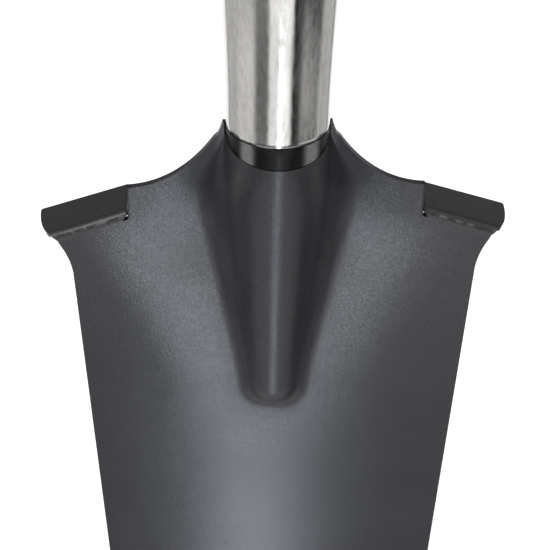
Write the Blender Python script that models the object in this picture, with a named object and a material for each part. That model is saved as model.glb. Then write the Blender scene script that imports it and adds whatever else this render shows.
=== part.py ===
"""Detecting shovel.

A pressed steel blade with two folded foot treads, a welded two-part socket, a swaged stainless
shaft and a D-handle made of two screwed shells round a sleeved grip bar.

Metres, +Z up along the shaft, front face towards -Y, origin at the middle of the blade's tip.
"""

import math

import bmesh
import bpy

MM = 0.001
GAP = 0.3 * MM

# Blade sheet
BLADE_THICKNESS = 2.2 * MM
NECK_Z = 250.0 * MM
SHOULDER_CURVE = ((17.4, -0.6), (22.4, -10.5), (32.3, -25.7), (49.8, -26.2))
FLARE_CURVE = ((73.7, -48.2), (71.8, -51.5), (70.0, -55.5), (69.4, -61.0))
TIP_CURVE = ((61.9, -214.0), (61.0, -233.0), (33.0, -250.0), (2.0, -250.0))

# Pressed socket bulge: height, flank and foot half widths at each depth below the neck, in mm
BULGE_DEPTHS = (0.0, 5.0, 25.0, 48.0, 74.0, 98.0, 112.0)
BULGE_HEIGHTS = (17.3, 17.0, 14.4, 11.0, 7.6, 4.9, 3.6)
BULGE_FLANKS = (16.6, 16.6, 16.3, 14.3, 11.8, 9.0, 7.8)
BULGE_FEET = (17.3, 17.4, 27.5, 26.2, 21.2, 16.4, 14.3)
BULGE_SOFTNESS = 2.6
BULGE_TOE_LENGTH = 16.0 * MM
RIM_BLEND_LENGTH = 24.0 * MM

# Shallow valley of the plate either side of the bulge, at the same depths
VALLEY_HEIGHTS = (0.0, 0.0, 1.4, 3.3, 1.9, 0.9, 0.45)
VALLEY_HALF_WIDTHS = (76.0, 76.0, 76.0, 68.0, 55.0, 43.0, 38.0)
VALLEY_FADE_LENGTH = 40.0 * MM

# Foot treads
TREAD_INNER_X = 50.25 * MM
TREAD_FOLD_OUTER_X = 74.0 * MM
TREAD_OUTER_X = 80.5 * MM
TREAD_INNER_DEPTH = 36.35 * MM
TREAD_SLOPE = 0.335
TREAD_REAR_Y = 17.7 * MM
TREAD_BEND_RADIUS = 3.0 * MM
TREAD_END_LENGTH = 16.0 * MM
TREAD_REAR_CORNER_RADIUS = 0.8 * MM
NOTCH_RADIUS = 1.1 * MM

# Ears of the sheet beside the collar
EAR_BASE_X = 19.4 * MM
EAR_ROOT_WIDTH = 2.1 * MM
EAR_TIP_WIDTH = 0.5 * MM

# Collar between the shaft and the socket, cut on a slant underneath
COLLAR_OUTER_RADIUS = 17.0 * MM
COLLAR_INNER_RADIUS = 14.6 * MM
COLLAR_SIDE_DEPTH = 4.9 * MM
COLLAR_SLANT = 0.194

# Rear half of the socket
SOCKET_BACK_THICKNESS = 2.0 * MM
SOCKET_BACK_END_DEPTH = 72.0 * MM
SOCKET_BACK_END_LENGTH = 16.0 * MM
SOCKET_BACK_END_CROWN_Y = 7.5 * MM
SOCKET_BACK_END_HALF_WIDTH = 12.0 * MM
SOCKET_BACK_HALF_WIDTH = 17.0 * MM
SOCKET_BACK_POWER = 2.2
SOCKET_BACK_ROUND_DEPTH = 34.0 * MM
SOCKET_BACK_CLEARANCE = 0.8 * MM
SOCKET_SETTLE_START = 10.0 * MM
SOCKET_SETTLE_LENGTH = 24.0 * MM
SOCKET_FLANGE = 5.0 * MM
SOCKET_FLANGE_START = 12.0 * MM
SOCKET_FLANGE_LENGTH = 20.0 * MM
WELD_RADIUS = 1.7 * MM
WELD_START_DEPTH = 24.0 * MM

# Tang inside the shaft and the socket
TANG_SHAFT_RADIUS = 15.1 * MM
TANG_NECK_RADIUS = 14.2 * MM
TANG_END_RADIUS = 7.6 * MM
TANG_SOCKET_DEPTH = 40.0 * MM
TANG_SHAFT_LENGTH = 55.0 * MM

# Shaft
SHAFT_NECK_RADIUS = 17.0 * MM
SHAFT_RADIUS = 19.05 * MM
SHAFT_WALL = 1.5 * MM
SHAFT_LENGTH = 385.0 * MM
SWAGE_LENGTH = 80.0 * MM

# Handle
SOCKET_CUP_RADIUS = 24.0 * MM
SOCKET_CUP_BOTTOM_Z = 0.588
SOCKET_CUP_TOP_Z = 0.652
FRAME_BOTTOM = (0.0, 0.662, 24.0 * MM)
FRAME_TOP = (43.0 * MM, 0.736, 23.0 * MM)
OPENING_BOTTOM = (9.0 * MM, 0.687, 8.0 * MM)
OPENING_TOP = (37.0 * MM, 0.722, 8.0 * MM)
FRAME_HALF_DEPTH = 13.5 * MM
FRAME_WALL = 3.2 * MM
FRAME_BEVEL = 5.0 * MM
GRIP_CENTRE_Z = 0.741
GRIP_RADIUS = 14.5 * MM
GRIP_HALF_LENGTH = 42.0 * MM
GRIP_BAR_RADIUS = 8.0 * MM
GRIP_BAR_WALL = 1.5 * MM
GRIP_BAR_HALF_LENGTH = 56.0 * MM
PLUG_LENGTH = 46.0 * MM
BOLT_Z = 0.612
BOLT_RADIUS = 3.0 * MM
BOLT_SEAT_Y = 21.4 * MM
BOLT_SEAT_RADIUS = 8.0 * MM
WASHER_RADIUS = 7.0 * MM
WASHER_THICKNESS = 1.2 * MM
SCREW_SHANK_RADIUS = 1.9 * MM
SCREW_HEAD_RADIUS = 3.6 * MM
SCREW_HEAD_HEIGHT = 2.4 * MM
SCREW_LENGTH = 9.0 * MM
SCREW_POINT_LENGTH = 1.5 * MM
SCREW_SLOT_HALF_LENGTH = 2.2 * MM
SCREW_SLOT_HALF_WIDTH = 0.5 * MM
SCREW_SLOT_DEPTH = 1.2 * MM
SCREW_BOSS_RADIUS = 5.4 * MM
BAR_HOLDER_WALL = 3.5 * MM
BAR_HOLDER_INNER_X = 30.0 * MM
SLEEVE_ROOM_EXTRA_RADIUS = 21.0 * MM
SLEEVE_ROOM_RAISE = 16.0 * MM
BORE_TOP_CLEARANCE = 3.4 * MM
CROSS_HOLE_RADIUS = BOLT_RADIUS + 0.4 * MM
BOLT_HEAD_RADIUS = 5.6 * MM
BOLT_HEAD_HEIGHT = 3.0 * MM
BOLT_KEY_RADIUS = 2.3 * MM
BOLT_KEY_DEPTH = 1.8 * MM
NUT_CORNER_RADIUS = 5.77 * MM
NUT_HEIGHT = 5.0 * MM
THROUGH = 40.0 * MM
HOLE_TURN = 0.11
SCREW_PLACES = ((-19.0 * MM, 0.674), (19.0 * MM, 0.674), (-56.5 * MM, 0.722), (56.5 * MM, 0.722))


def remove_everything():
    for old in list(bpy.data.objects):
        bpy.data.objects.remove(old, do_unlink=True)


def make_material(name, colour, roughness, metallic):
    material = bpy.data.materials.new(name)
    material.use_nodes = True
    shader = material.node_tree.nodes["Principled BSDF"]
    shader.inputs["Base Color"].default_value = (*colour, 1.0)
    shader.inputs["Roughness"].default_value = roughness
    shader.inputs["Metallic"].default_value = metallic
    material.diffuse_color = (*colour, 1.0)
    return material


def add_object(name, bm, material, sharp_degrees=35.0):
    """Turn a bmesh into a named, smooth-shaded object."""
    bmesh.ops.recalc_face_normals(bm, faces=bm.faces)
    mesh = bpy.data.meshes.new(name)
    bm.to_mesh(mesh)
    bm.free()
    mesh.shade_smooth()
    mesh.set_sharp_from_angle(angle=math.radians(sharp_degrees))
    mesh.materials.append(material)
    part = bpy.data.objects.new(name, mesh)
    bpy.context.scene.collection.objects.link(part)
    return part


def add_cutter(name, bm):
    cutter = add_object(name, bm, CUTTER_MATERIAL)
    cutter.hide_render = True
    cutter.display_type = "WIRE"
    return cutter


def boolean(part, cutter, operation):
    modifier = part.modifiers.new(cutter.name, "BOOLEAN")
    modifier.operation = operation
    modifier.object = cutter
    modifier.solver = "EXACT"


def smoothstep(value):
    value = min(max(value, 0.0), 1.0)
    return value * value * (3.0 - 2.0 * value)


def mix(low, high, share):
    return low + (high - low) * share


def bezier(points, share):
    """A point, in metres, on a cubic curve whose control points are in millimetres."""
    rest = 1.0 - share
    weights = (rest ** 3, 3 * rest ** 2 * share, 3 * rest * share ** 2, share ** 3)
    return tuple(sum(w * p[axis] for w, p in zip(weights, points)) * MM for axis in (0, 1))


def bridge(bm, first, second):
    """Quads between two rows of vertices of equal length."""
    for i in range(len(first) - 1):
        bm.faces.new((first[i], first[i + 1], second[i + 1], second[i]))


def ring(bm, radius, centre, axis, segments, turn=0.0):
    """A closed ring of vertices round the X, Y or Z axis."""
    vertices = []
    for i in range(segments):
        angle = 2.0 * math.pi * i / segments + turn
        a, b = radius * math.cos(angle), radius * math.sin(angle)
        offset = {"X": (0.0, a, b), "Y": (b, 0.0, a), "Z": (a, b, 0.0)}[axis]
        vertices.append(bm.verts.new([c + o for c, o in zip(centre, offset)]))
    return vertices


def turned(profile, axis, centre, segments, closed=False, turn=0.0):
    """A solid turned from (radius, distance along the axis) pairs.

    An open profile is capped at both ends. A closed one makes a tube or a ring.
    """
    bm = bmesh.new()
    direction = {"X": (1, 0, 0), "Y": (0, 1, 0), "Z": (0, 0, 1)}[axis]
    rings = []
    for radius, along in profile:
        place = [c + d * along for c, d in zip(centre, direction)]
        rings.append(ring(bm, radius, place, axis, segments, turn=turn))
    pairs = list(zip(rings, rings[1:]))
    if closed:
        pairs.append((rings[-1], rings[0]))
    else:
        bm.faces.new(rings[0])
        bm.faces.new(rings[-1])
    for first, second in pairs:
        bridge(bm, first + first[:1], second + second[:1])
    return bm


# ---------------------------------------------------------------------------------------------
# Blade
# ---------------------------------------------------------------------------------------------

def smooth_curve(values, depth):
    """A smooth curve through values in mm, one for each of BULGE_DEPTHS, in metres."""
    depths = BULGE_DEPTHS
    at = min(max(depth / MM, depths[0]), depths[-1])
    i = max(j for j in range(len(depths) - 1) if depths[j] <= at)
    slopes = [(values[j + 1] - values[j]) / (depths[j + 1] - depths[j])
              for j in range(len(depths) - 1)]
    start = 0.5 * (slopes[max(i - 1, 0)] + slopes[i])
    end = 0.5 * (slopes[i] + slopes[min(i + 1, len(slopes) - 1)])
    span = depths[i + 1] - depths[i]
    t = (at - depths[i]) / span
    return MM * (values[i] * (1 + 2 * t) * (1 - t) ** 2 + values[i + 1] * (3 - 2 * t) * t * t
                 + span * t * (1 - t) * (start * (1 - t) - end * t))


def valley_y(x, depth):
    """How far the plate lies behind its flat rim beside the bulge."""
    half_width = smooth_curve(VALLEY_HALF_WIDTHS, depth)
    if abs(x) >= half_width:
        return 0.0
    fade = 1.0 - smoothstep((depth - BULGE_DEPTHS[-1] * MM) / VALLEY_FADE_LENGTH)
    return smooth_curve(VALLEY_HEIGHTS, depth) * fade * (1.0 - (x / half_width) ** 2) ** 2


def bulge_section(depth):
    """Crown radius, slope where the crown ends, flank and foot half widths of the bulge."""
    height = smooth_curve(BULGE_HEIGHTS, depth) + valley_y(0.0, depth)
    flank = smooth_curve(BULGE_FLANKS, depth)
    foot = smooth_curve(BULGE_FEET, depth)
    low, high = 0.0, math.radians(88.0)
    for _ in range(30):
        angle = 0.5 * (low + high)
        reach = flank * math.tan(0.5 * angle) + math.tan(angle) * (foot - flank) / BULGE_SOFTNESS
        low, high = (angle, high) if reach < height else (low, angle)
    return flank / math.sin(angle), math.tan(angle), flank, foot


def bulge_height(x, depth):
    """Height of the bulge above the plate: a round crown running into a hollow skirt."""
    crown, slope, flank, foot = bulge_section(depth)
    toe = max(depth - BULGE_DEPTHS[-1] * MM, 0.0) / BULGE_TOE_LENGTH
    out = math.hypot(x, foot * toe)
    if out >= foot:
        return 0.0
    skirt = slope * (foot - flank) / BULGE_SOFTNESS
    if out > flank:
        return skirt * ((foot - out) / (foot - flank)) ** BULGE_SOFTNESS
    return skirt + math.sqrt(crown ** 2 - out ** 2) - math.sqrt(crown ** 2 - flank ** 2)


def bulge_columns(depth, half_width, inner_columns, outer_columns):
    """Places across the sheet from its middle to its edge, close together on the bends."""
    crown, _, flank, foot = bulge_section(depth)
    foot = min(foot, half_width - EAR_ROOT_WIDTH)
    flank = min(flank, 0.97 * foot)
    angle = math.asin(flank / crown)
    places = [crown * math.sin(angle * i / inner_columns) for i in range(inner_columns + 1)]
    places += [mix(flank, foot, (i / inner_columns) ** 1.4) for i in range(1, inner_columns + 1)]
    places += [mix(foot, half_width, i / outer_columns) for i in range(1, outer_columns + 1)]
    return places


def blade_front_y(x, depth):
    return valley_y(x, depth) - bulge_height(x, depth)


def blade_back_y(x, depth):
    """The plate's rear face, with its thickness measured square to the sheet."""
    step = 0.2 * MM
    slope = (blade_front_y(x + step, depth) - blade_front_y(x - step, depth)) / (2.0 * step)
    return blade_front_y(x, depth) + BLADE_THICKNESS * math.sqrt(1.0 + slope * slope)


def collar_underside(y):
    """Depth of the collar's slanted lower edge below the neck: deepest at the front."""
    return COLLAR_SIDE_DEPTH - COLLAR_SLANT * y


def tread_fold_depth(x):
    return TREAD_INNER_DEPTH + TREAD_SLOPE * (abs(x) - TREAD_INNER_X)


def blade_rows(per_curve):
    """(half width, depth below the neck) of each cross row of the sheet, from tip to neck."""
    tip = [bezier(TIP_CURVE, 1.0 - i / per_curve) for i in range(per_curve)]
    flare = [bezier(FLARE_CURVE, 1.0 - i / 4) for i in range(4)]
    shoulder = [bezier(SHOULDER_CURVE, 1.0 - i / per_curve) for i in range(per_curve)]
    rows = [(x, -z) for x, z in tip]
    side_top, side_bottom = flare[0], bezier(TIP_CURVE, 0.0)
    side_rows = 2 * per_curve
    for i in range(side_rows):
        share = i / side_rows
        rows.append((mix(side_bottom[0], side_top[0], share), -mix(side_bottom[1], side_top[1], share)))
    rows += [(x, -z) for x, z in flare]
    fold = []
    for i in range(per_curve + 1):
        x = mix(TREAD_FOLD_OUTER_X, TREAD_INNER_X + NOTCH_RADIUS, i / per_curve)
        fold.append((x, tread_fold_depth(x) + TREAD_BEND_RADIUS))
    first_fold_row = len(rows)
    rows += fold
    notch_x = SHOULDER_CURVE[-1][0] * MM
    notch_width, notch_depth = fold[-1][0] - notch_x, fold[-1][1]
    for angle in (30.0, 60.0, 90.0):
        rows.append((notch_x + notch_width * (1.0 - math.sin(math.radians(angle))),
                     notch_depth - NOTCH_RADIUS * (1.0 - math.cos(math.radians(angle)))))
    rows += [(x, -z) for x, z in shoulder if -z > COLLAR_SIDE_DEPTH + 1.5 * MM]
    rows.append((EAR_BASE_X, COLLAR_SIDE_DEPTH + GAP))
    return rows, first_fold_row, len(fold)


def tread_inner_x(back):
    """The tread's inner end, rounded where it meets the fold."""
    if back >= NOTCH_RADIUS:
        return TREAD_INNER_X
    reach = math.sqrt(NOTCH_RADIUS ** 2 - (NOTCH_RADIUS - back) ** 2)
    return TREAD_INNER_X + NOTCH_RADIUS - reach


def tread_outer_x(back):
    """The outer end sweeps out from the fold and stops at a nearly sharp rear corner."""
    left = 1.0 - min(max(back, 0.0) / TREAD_END_LENGTH, 1.0)
    edge = mix(TREAD_FOLD_OUTER_X, TREAD_OUTER_X, math.sqrt(1.0 - left * left))
    rear = back - (TREAD_REAR_Y - TREAD_REAR_CORNER_RADIUS)
    if rear > 0.0:
        reach = TREAD_REAR_CORNER_RADIUS ** 2 - min(rear, TREAD_REAR_CORNER_RADIUS) ** 2
        edge += math.sqrt(reach) - TREAD_REAR_CORNER_RADIUS
    return edge


def add_tread(bm, fold_vertices, side):
    """Fold the sheet rearwards along the row of fold vertices, outer end first."""
    rows = [fold_vertices]
    for angle in (30.0, 60.0, 90.0):
        turn = math.radians(angle)
        rows.append(tread_row(bm, fold_vertices, side, TREAD_BEND_RADIUS * (1.0 - math.cos(turn)),
                              TREAD_BEND_RADIUS * (1.0 - math.sin(turn))))
    flat_rows = 8
    for i in range(1, flat_rows + 1):
        back = mix(TREAD_BEND_RADIUS, TREAD_REAR_Y, math.sin(0.5 * math.pi * i / flat_rows))
        rows.append(tread_row(bm, fold_vertices, side, back, 0.0))
    for first, second in zip(rows, rows[1:]):
        bridge(bm, first, second)


def tread_row(bm, fold_vertices, side, back, drop):
    last = len(fold_vertices) - 1
    row = []
    for i, fold in enumerate(fold_vertices):
        x = mix(tread_outer_x(back), tread_inner_x(back), i / last)
        y = back + fold.co.y * (1.0 - back / TREAD_REAR_Y)
        row.append(bm.verts.new((side * x, y, NECK_Z - tread_fold_depth(x) - drop)))
    return row


def blade_sheet(per_curve, inner_columns, outer_columns):
    """The front surface of the blade as one open sheet."""
    bm = bmesh.new()
    rows, first_fold_row, fold_count = blade_rows(per_curve)
    grid = []
    for half_width, depth in rows:
        places = bulge_columns(depth, half_width, inner_columns, outer_columns)
        near_rim = 1.0 - smoothstep((depth - COLLAR_SIDE_DEPTH) / RIM_BLEND_LENGTH)
        line = []
        for x in [-x for x in reversed(places[1:])] + places:
            z = NECK_Z - depth - COLLAR_SLANT * bulge_height(x, depth) * near_rim
            line.append(bm.verts.new((x, blade_front_y(x, depth), z)))
        grid.append(line)
    for first, second in zip(grid, grid[1:]):
        bridge(bm, first, second)

    fold_rows = grid[first_fold_row:first_fold_row + fold_count]
    add_tread(bm, [line[-1] for line in fold_rows], 1)
    add_tread(bm, [line[0] for line in fold_rows], -1)

    # Two ears of the sheet stand up beside the collar.
    rim = grid[-1]
    ear_x, ear_z = (value * MM for value in SHOULDER_CURVE[0])
    for corner, base in ((1, rim[-outer_columns - 1:]), (-1, rim[outer_columns::-1])):
        tip = [bm.verts.new((corner * (ear_x + EAR_TIP_WIDTH * i / outer_columns), foot.co.y,
                             NECK_Z + ear_z))
               for i, foot in enumerate(base)]
        bridge(bm, base, tip)
    return bm


def make_blade(material):
    bm = blade_sheet(per_curve=7, inner_columns=6, outer_columns=6)
    bmesh.ops.remove_doubles(bm, verts=bm.verts, dist=0.01 * MM)
    blade = add_object("blade", bm, material)
    front = blade.data.polygons[0].normal.y
    solidify = blade.modifiers.new("thickness", "SOLIDIFY")
    solidify.thickness = BLADE_THICKNESS
    solidify.offset = -1.0 if front < 0.0 else 1.0
    return blade


# ---------------------------------------------------------------------------------------------
# Socket, collar and tang
# ---------------------------------------------------------------------------------------------

def socket_back_half_width(depth):
    share = min(depth / SOCKET_BACK_END_DEPTH, 1.0)
    return mix(SOCKET_BACK_HALF_WIDTH, SOCKET_BACK_END_HALF_WIDTH, share)


def rear_section(across, round_share):
    """Height of the rear half, 0 to 1: half a circle at the neck, bell-shaped further down."""
    across = min(abs(across), 1.0)
    half_circle = math.sqrt(1.0 - across * across)
    bell = 0.5 * (1.0 + math.cos(math.pi * across ** SOCKET_BACK_POWER))
    return mix(half_circle, bell, round_share)


def socket_back_y(x, depth):
    """Outer face of the rear half: its flanges follow the blade, its middle stands out."""
    half_width = socket_back_half_width(depth)
    settle = smoothstep((depth - SOCKET_SETTLE_START) / SOCKET_SETTLE_LENGTH)
    seam = max(abs(x), half_width)
    base = mix(BLADE_THICKNESS, blade_back_y(seam, depth), settle)
    across = x / half_width
    if depth > SOCKET_BACK_END_DEPTH:
        across = math.hypot(across, (depth - SOCKET_BACK_END_DEPTH) / SOCKET_BACK_END_LENGTH)
    face = base + mix(GAP, SOCKET_BACK_CLEARANCE, settle) + SOCKET_BACK_THICKNESS
    crown = mix(COLLAR_OUTER_RADIUS, SOCKET_BACK_END_CROWN_Y, min(depth / SOCKET_BACK_END_DEPTH, 1.0))
    section = rear_section(across, smoothstep(depth / SOCKET_BACK_ROUND_DEPTH))
    return face + (crown - face) * section


def flange_half_width(depth):
    """Half width of the rear socket with its flanges, kept inside the blade's shoulders."""
    end = SOCKET_BACK_END_DEPTH
    reach = SOCKET_BACK_END_LENGTH + SOCKET_FLANGE
    flange = SOCKET_FLANGE * smoothstep((depth - SOCKET_FLANGE_START) / SOCKET_FLANGE_LENGTH)
    width = socket_back_half_width(depth) + flange + GAP
    if depth > end:
        width *= math.sqrt(max(1.0 - ((depth - end) / reach) ** 2, 0.0))
    return width


def make_socket_back(material):
    bm = bmesh.new()
    rim = COLLAR_SIDE_DEPTH + 2 * GAP + COLLAR_SLANT * SOCKET_BACK_THICKNESS
    end = SOCKET_BACK_END_DEPTH + (SOCKET_BACK_END_LENGTH + SOCKET_FLANGE) * 0.985
    columns = 9
    row_count = 13
    grid = []
    for i in range(row_count + 1):
        depth = mix(rim, end, math.sin(0.5 * math.pi * i / row_count))
        half_width = flange_half_width(depth)
        near_rim = 1.0 - smoothstep((depth - COLLAR_SIDE_DEPTH) / RIM_BLEND_LENGTH)
        line = []
        for j in range(-columns, columns + 1):
            x = half_width * math.sin(0.5 * math.pi * j / columns)
            y = socket_back_y(x, depth)
            line.append(bm.verts.new((x, y, NECK_Z - depth + COLLAR_SLANT * y * near_rim)))
        grid.append(line)
    for first, second in zip(grid, grid[1:]):
        bridge(bm, first, second)
    part = add_object("socket_back", bm, material)
    rearward = part.data.polygons[0].normal.y
    solidify = part.modifiers.new("thickness", "SOLIDIFY")
    solidify.thickness = SOCKET_BACK_THICKNESS
    solidify.offset = -1.0 if rearward > 0.0 else 1.0
    return part


def make_weld(name, side, material):
    """A fillet weld along one edge of the rear socket's flange."""
    bm = bmesh.new()
    steps = 14
    sides = 8
    stand_off = GAP + WELD_RADIUS * 1.12
    rings = []
    for i in range(steps + 1):
        depth = mix(WELD_START_DEPTH, SOCKET_BACK_END_DEPTH, i / steps)
        ripple = 1.0 + 0.08 * math.cos(math.pi * i)
        radius = WELD_RADIUS * ripple * (0.55 if i in (0, steps) else 1.0)
        x = flange_half_width(depth) + stand_off
        centre = (side * x, blade_back_y(x, depth) + stand_off, NECK_Z - depth)
        rings.append(ring(bm, radius, centre, "Z", sides))
    for first, second in zip(rings, rings[1:]):
        bridge(bm, first + first[:1], second + second[:1])
    bm.faces.new(rings[0])
    bm.faces.new(rings[-1])
    return add_object(name, bm, material)


def make_collar(material):
    """A ring with a level top and a slanted lower edge, the same diameter as the shaft."""
    bm = bmesh.new()
    segments = 48
    bevel = 0.4 * MM
    top = NECK_Z - GAP
    outer_radii = ((COLLAR_OUTER_RADIUS - bevel, 0.0), (COLLAR_OUTER_RADIUS, bevel))
    rings = [ring(bm, radius, (0, 0, top - drop), "Z", segments) for radius, drop in outer_radii]
    for radius in (COLLAR_OUTER_RADIUS, COLLAR_INNER_RADIUS):
        lower = ring(bm, radius, (0, 0, NECK_Z), "Z", segments)
        for vertex in lower:
            vertex.co.z = NECK_Z - collar_underside(vertex.co.y)
        rings.append(lower)
    rings.append(ring(bm, COLLAR_INNER_RADIUS, (0, 0, top), "Z", segments))
    for first, second in zip(rings, rings[1:] + rings[:1]):
        bridge(bm, first + first[:1], second + second[:1])
    return add_object("collar_ring", bm, material)


def make_tang(material):
    profile = (
        (TANG_END_RADIUS - 1.5 * MM, -TANG_SOCKET_DEPTH),
        (TANG_END_RADIUS, -TANG_SOCKET_DEPTH + 1.5 * MM),
        (TANG_NECK_RADIUS, -GAP),
        (TANG_NECK_RADIUS, GAP),
        (TANG_SHAFT_RADIUS, 2.0 * MM),
        (TANG_SHAFT_RADIUS, TANG_SHAFT_LENGTH - 2.0 * MM),
        (TANG_SHAFT_RADIUS - 2.0 * MM, TANG_SHAFT_LENGTH),
    )
    return add_object("tang", turned(profile, "Z", (0, 0, NECK_Z), 32), material)


# ---------------------------------------------------------------------------------------------
# Shaft
# ---------------------------------------------------------------------------------------------

def shaft_radius(height):
    """Outer radius above the neck: the lower end is swaged down to the socket's size."""
    return mix(SHAFT_NECK_RADIUS, SHAFT_RADIUS, smoothstep(height / SWAGE_LENGTH))


def make_shaft(material):
    heights = [SWAGE_LENGTH * i / 6 for i in range(7)] + [SHAFT_LENGTH]
    outer = [(shaft_radius(height), height) for height in heights]
    edge = 0.5 * MM
    outer[0] = (outer[0][0], edge)
    outer.insert(0, (outer[0][0] - edge, 0.0))
    outer[-1] = (outer[-1][0], SHAFT_LENGTH - edge)
    outer.append((outer[-1][0] - edge, SHAFT_LENGTH))
    inner = [(shaft_radius(height) - SHAFT_WALL, height) for height in reversed(heights)]
    shaft = add_object("shaft_tube", turned(outer + inner, "Z", (0, 0, NECK_Z), 48, closed=True),
                       material)
    cross_hole = turned(((CROSS_HOLE_RADIUS, -THROUGH), (CROSS_HOLE_RADIUS, THROUGH)),
                        "Y", (0, 0, BOLT_Z), 20, turn=HOLE_TURN)
    boolean(shaft, add_cutter("shaft_cross_hole", cross_hole), "DIFFERENCE")
    return shaft


def make_tube_plug(material):
    """Plug that keeps the shaft's top round where the handle bolt squeezes it."""
    top = NECK_Z + SHAFT_LENGTH
    radius = SHAFT_RADIUS - SHAFT_WALL - GAP
    profile = (
        (radius - 1.0 * MM, -PLUG_LENGTH),
        (radius, -PLUG_LENGTH + 1.0 * MM),
        (radius, GAP),
        (SHAFT_RADIUS - GAP, GAP),
        (SHAFT_RADIUS - GAP, 3.0 * MM),
    )
    plug = add_object("tube_plug", turned(profile, "Z", (0, 0, top), 32), material)
    cross_hole = turned(((CROSS_HOLE_RADIUS, -THROUGH), (CROSS_HOLE_RADIUS, THROUGH)),
                        "Y", (0, 0, BOLT_Z), 20, turn=HOLE_TURN)
    boolean(plug, add_cutter("plug_cross_hole", cross_hole), "DIFFERENCE")
    return plug


# ---------------------------------------------------------------------------------------------
# Handle
# ---------------------------------------------------------------------------------------------

def hull_outline(bottom, top, grow, steps):
    """Outline round circles at the bottom and top, mirrored across X = 0, as (x, z) points.

    Each circle is (x, z, radius). The tangent between two circles sets where the arcs stop.
    """
    bottom_x, bottom_z, bottom_radius = bottom
    top_x, top_z, top_radius = top
    bottom_radius += grow
    top_radius += grow
    length = math.hypot(top_x - bottom_x, top_z - bottom_z)
    lean = math.atan2(top_z - bottom_z, top_x - bottom_x)
    tangent = lean - math.acos((bottom_radius - top_radius) / length)
    points = []
    for i in range(steps + 1):
        angle = mix(-0.5 * math.pi, tangent, i / steps)
        points.append((bottom_x + bottom_radius * math.cos(angle),
                       bottom_z + bottom_radius * math.sin(angle)))
    for i in range(steps + 1):
        angle = mix(tangent, 0.5 * math.pi, i / steps)
        points.append((top_x + top_radius * math.cos(angle), top_z + top_radius * math.sin(angle)))
    mirrored = [(-x, z) for x, z in reversed(points) if x > 0.01 * MM]
    return points + mirrored


def prism(outline, low_y, high_y):
    """A closed outline of (x, z) points extruded along Y."""
    bm = bmesh.new()
    front = [bm.verts.new((x, low_y, z)) for x, z in outline]
    back = [bm.verts.new((x, high_y, z)) for x, z in outline]
    bm.faces.new(front)
    bm.faces.new(back)
    bridge(bm, front + front[:1], back + back[:1])
    return bm


def frame_body():
    """The handle's outer form: a rounded triangle on top of a round cup for the shaft."""
    outline = hull_outline(FRAME_BOTTOM, FRAME_TOP, 0.0, 7)
    bm = prism(outline, -FRAME_HALF_DEPTH, FRAME_HALF_DEPTH)
    edges = [e for e in bm.edges if abs(e.verts[0].co.y - e.verts[1].co.y) < 0.1 * MM]
    bmesh.ops.bevel(bm, geom=edges, offset=FRAME_BEVEL, segments=3, profile=0.5, affect="EDGES")
    return bm


def cup_body():
    lip = 2.0 * MM
    shoulder = 14.0 * MM
    height = SOCKET_CUP_TOP_Z - SOCKET_CUP_BOTTOM_Z
    profile = (
        (SOCKET_CUP_RADIUS - lip, 0.0),
        (SOCKET_CUP_RADIUS - 0.3 * lip, 0.3 * lip),
        (SOCKET_CUP_RADIUS, lip),
        (SOCKET_CUP_RADIUS, height - shoulder),
        (SOCKET_CUP_RADIUS - 1.5 * MM, height - 0.5 * shoulder),
        (SOCKET_CUP_RADIUS - 6.0 * MM, height),
        (SOCKET_CUP_RADIUS - 12.0 * MM, height + 0.5 * shoulder),
    )
    return turned(profile, "Z", (0, 0, SOCKET_CUP_BOTTOM_Z), 40)


def inner_hollow(front):
    """Hollow inside the handle's frame, with a boss left standing round each screw."""
    side = -1.0 if front else 1.0
    depth = side * (FRAME_HALF_DEPTH - FRAME_WALL)
    tag = "front" if front else "rear"
    outline = hull_outline(FRAME_BOTTOM, FRAME_TOP, -FRAME_WALL - 1.5 * MM, 6)
    hollow = add_cutter("hollow_" + tag, prism(outline, min(depth, 0), max(depth, 0)))
    rim = hull_outline(OPENING_BOTTOM, OPENING_TOP, FRAME_WALL, 6)
    boolean(hollow, add_cutter("hollow_rim_" + tag, prism(rim, -THROUGH, THROUGH)), "DIFFERENCE")
    for number, (x, z) in enumerate(SCREW_PLACES):
        boss = turned(((SCREW_BOSS_RADIUS, -THROUGH), (SCREW_BOSS_RADIUS, THROUGH)),
                      "Y", (x, 0, z), 16)
        boolean(hollow, add_cutter(f"boss_{tag}_{number}", boss), "DIFFERENCE")
    seat = turned(((SOCKET_CUP_RADIUS + 1.0 * MM, -80 * MM), (SOCKET_CUP_RADIUS + 1.0 * MM, 8 * MM)),
                  "Z", (0, 0, NECK_Z + SHAFT_LENGTH), 24)
    boolean(hollow, add_cutter("hollow_seat_" + tag, seat), "DIFFERENCE")
    for number, end in enumerate((-1.0, 1.0)):
        reach = GRIP_BAR_RADIUS + BAR_HOLDER_WALL
        holder = turned(((reach, BAR_HOLDER_INNER_X), (reach, 3.0 * BAR_HOLDER_INNER_X)),
                        "X", (0, 0, GRIP_CENTRE_Z), 20)
        for vertex in holder.verts:
            vertex.co.x *= end
        boolean(hollow, add_cutter(f"bar_holder_{tag}_{number}", holder), "DIFFERENCE")
    return hollow


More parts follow.
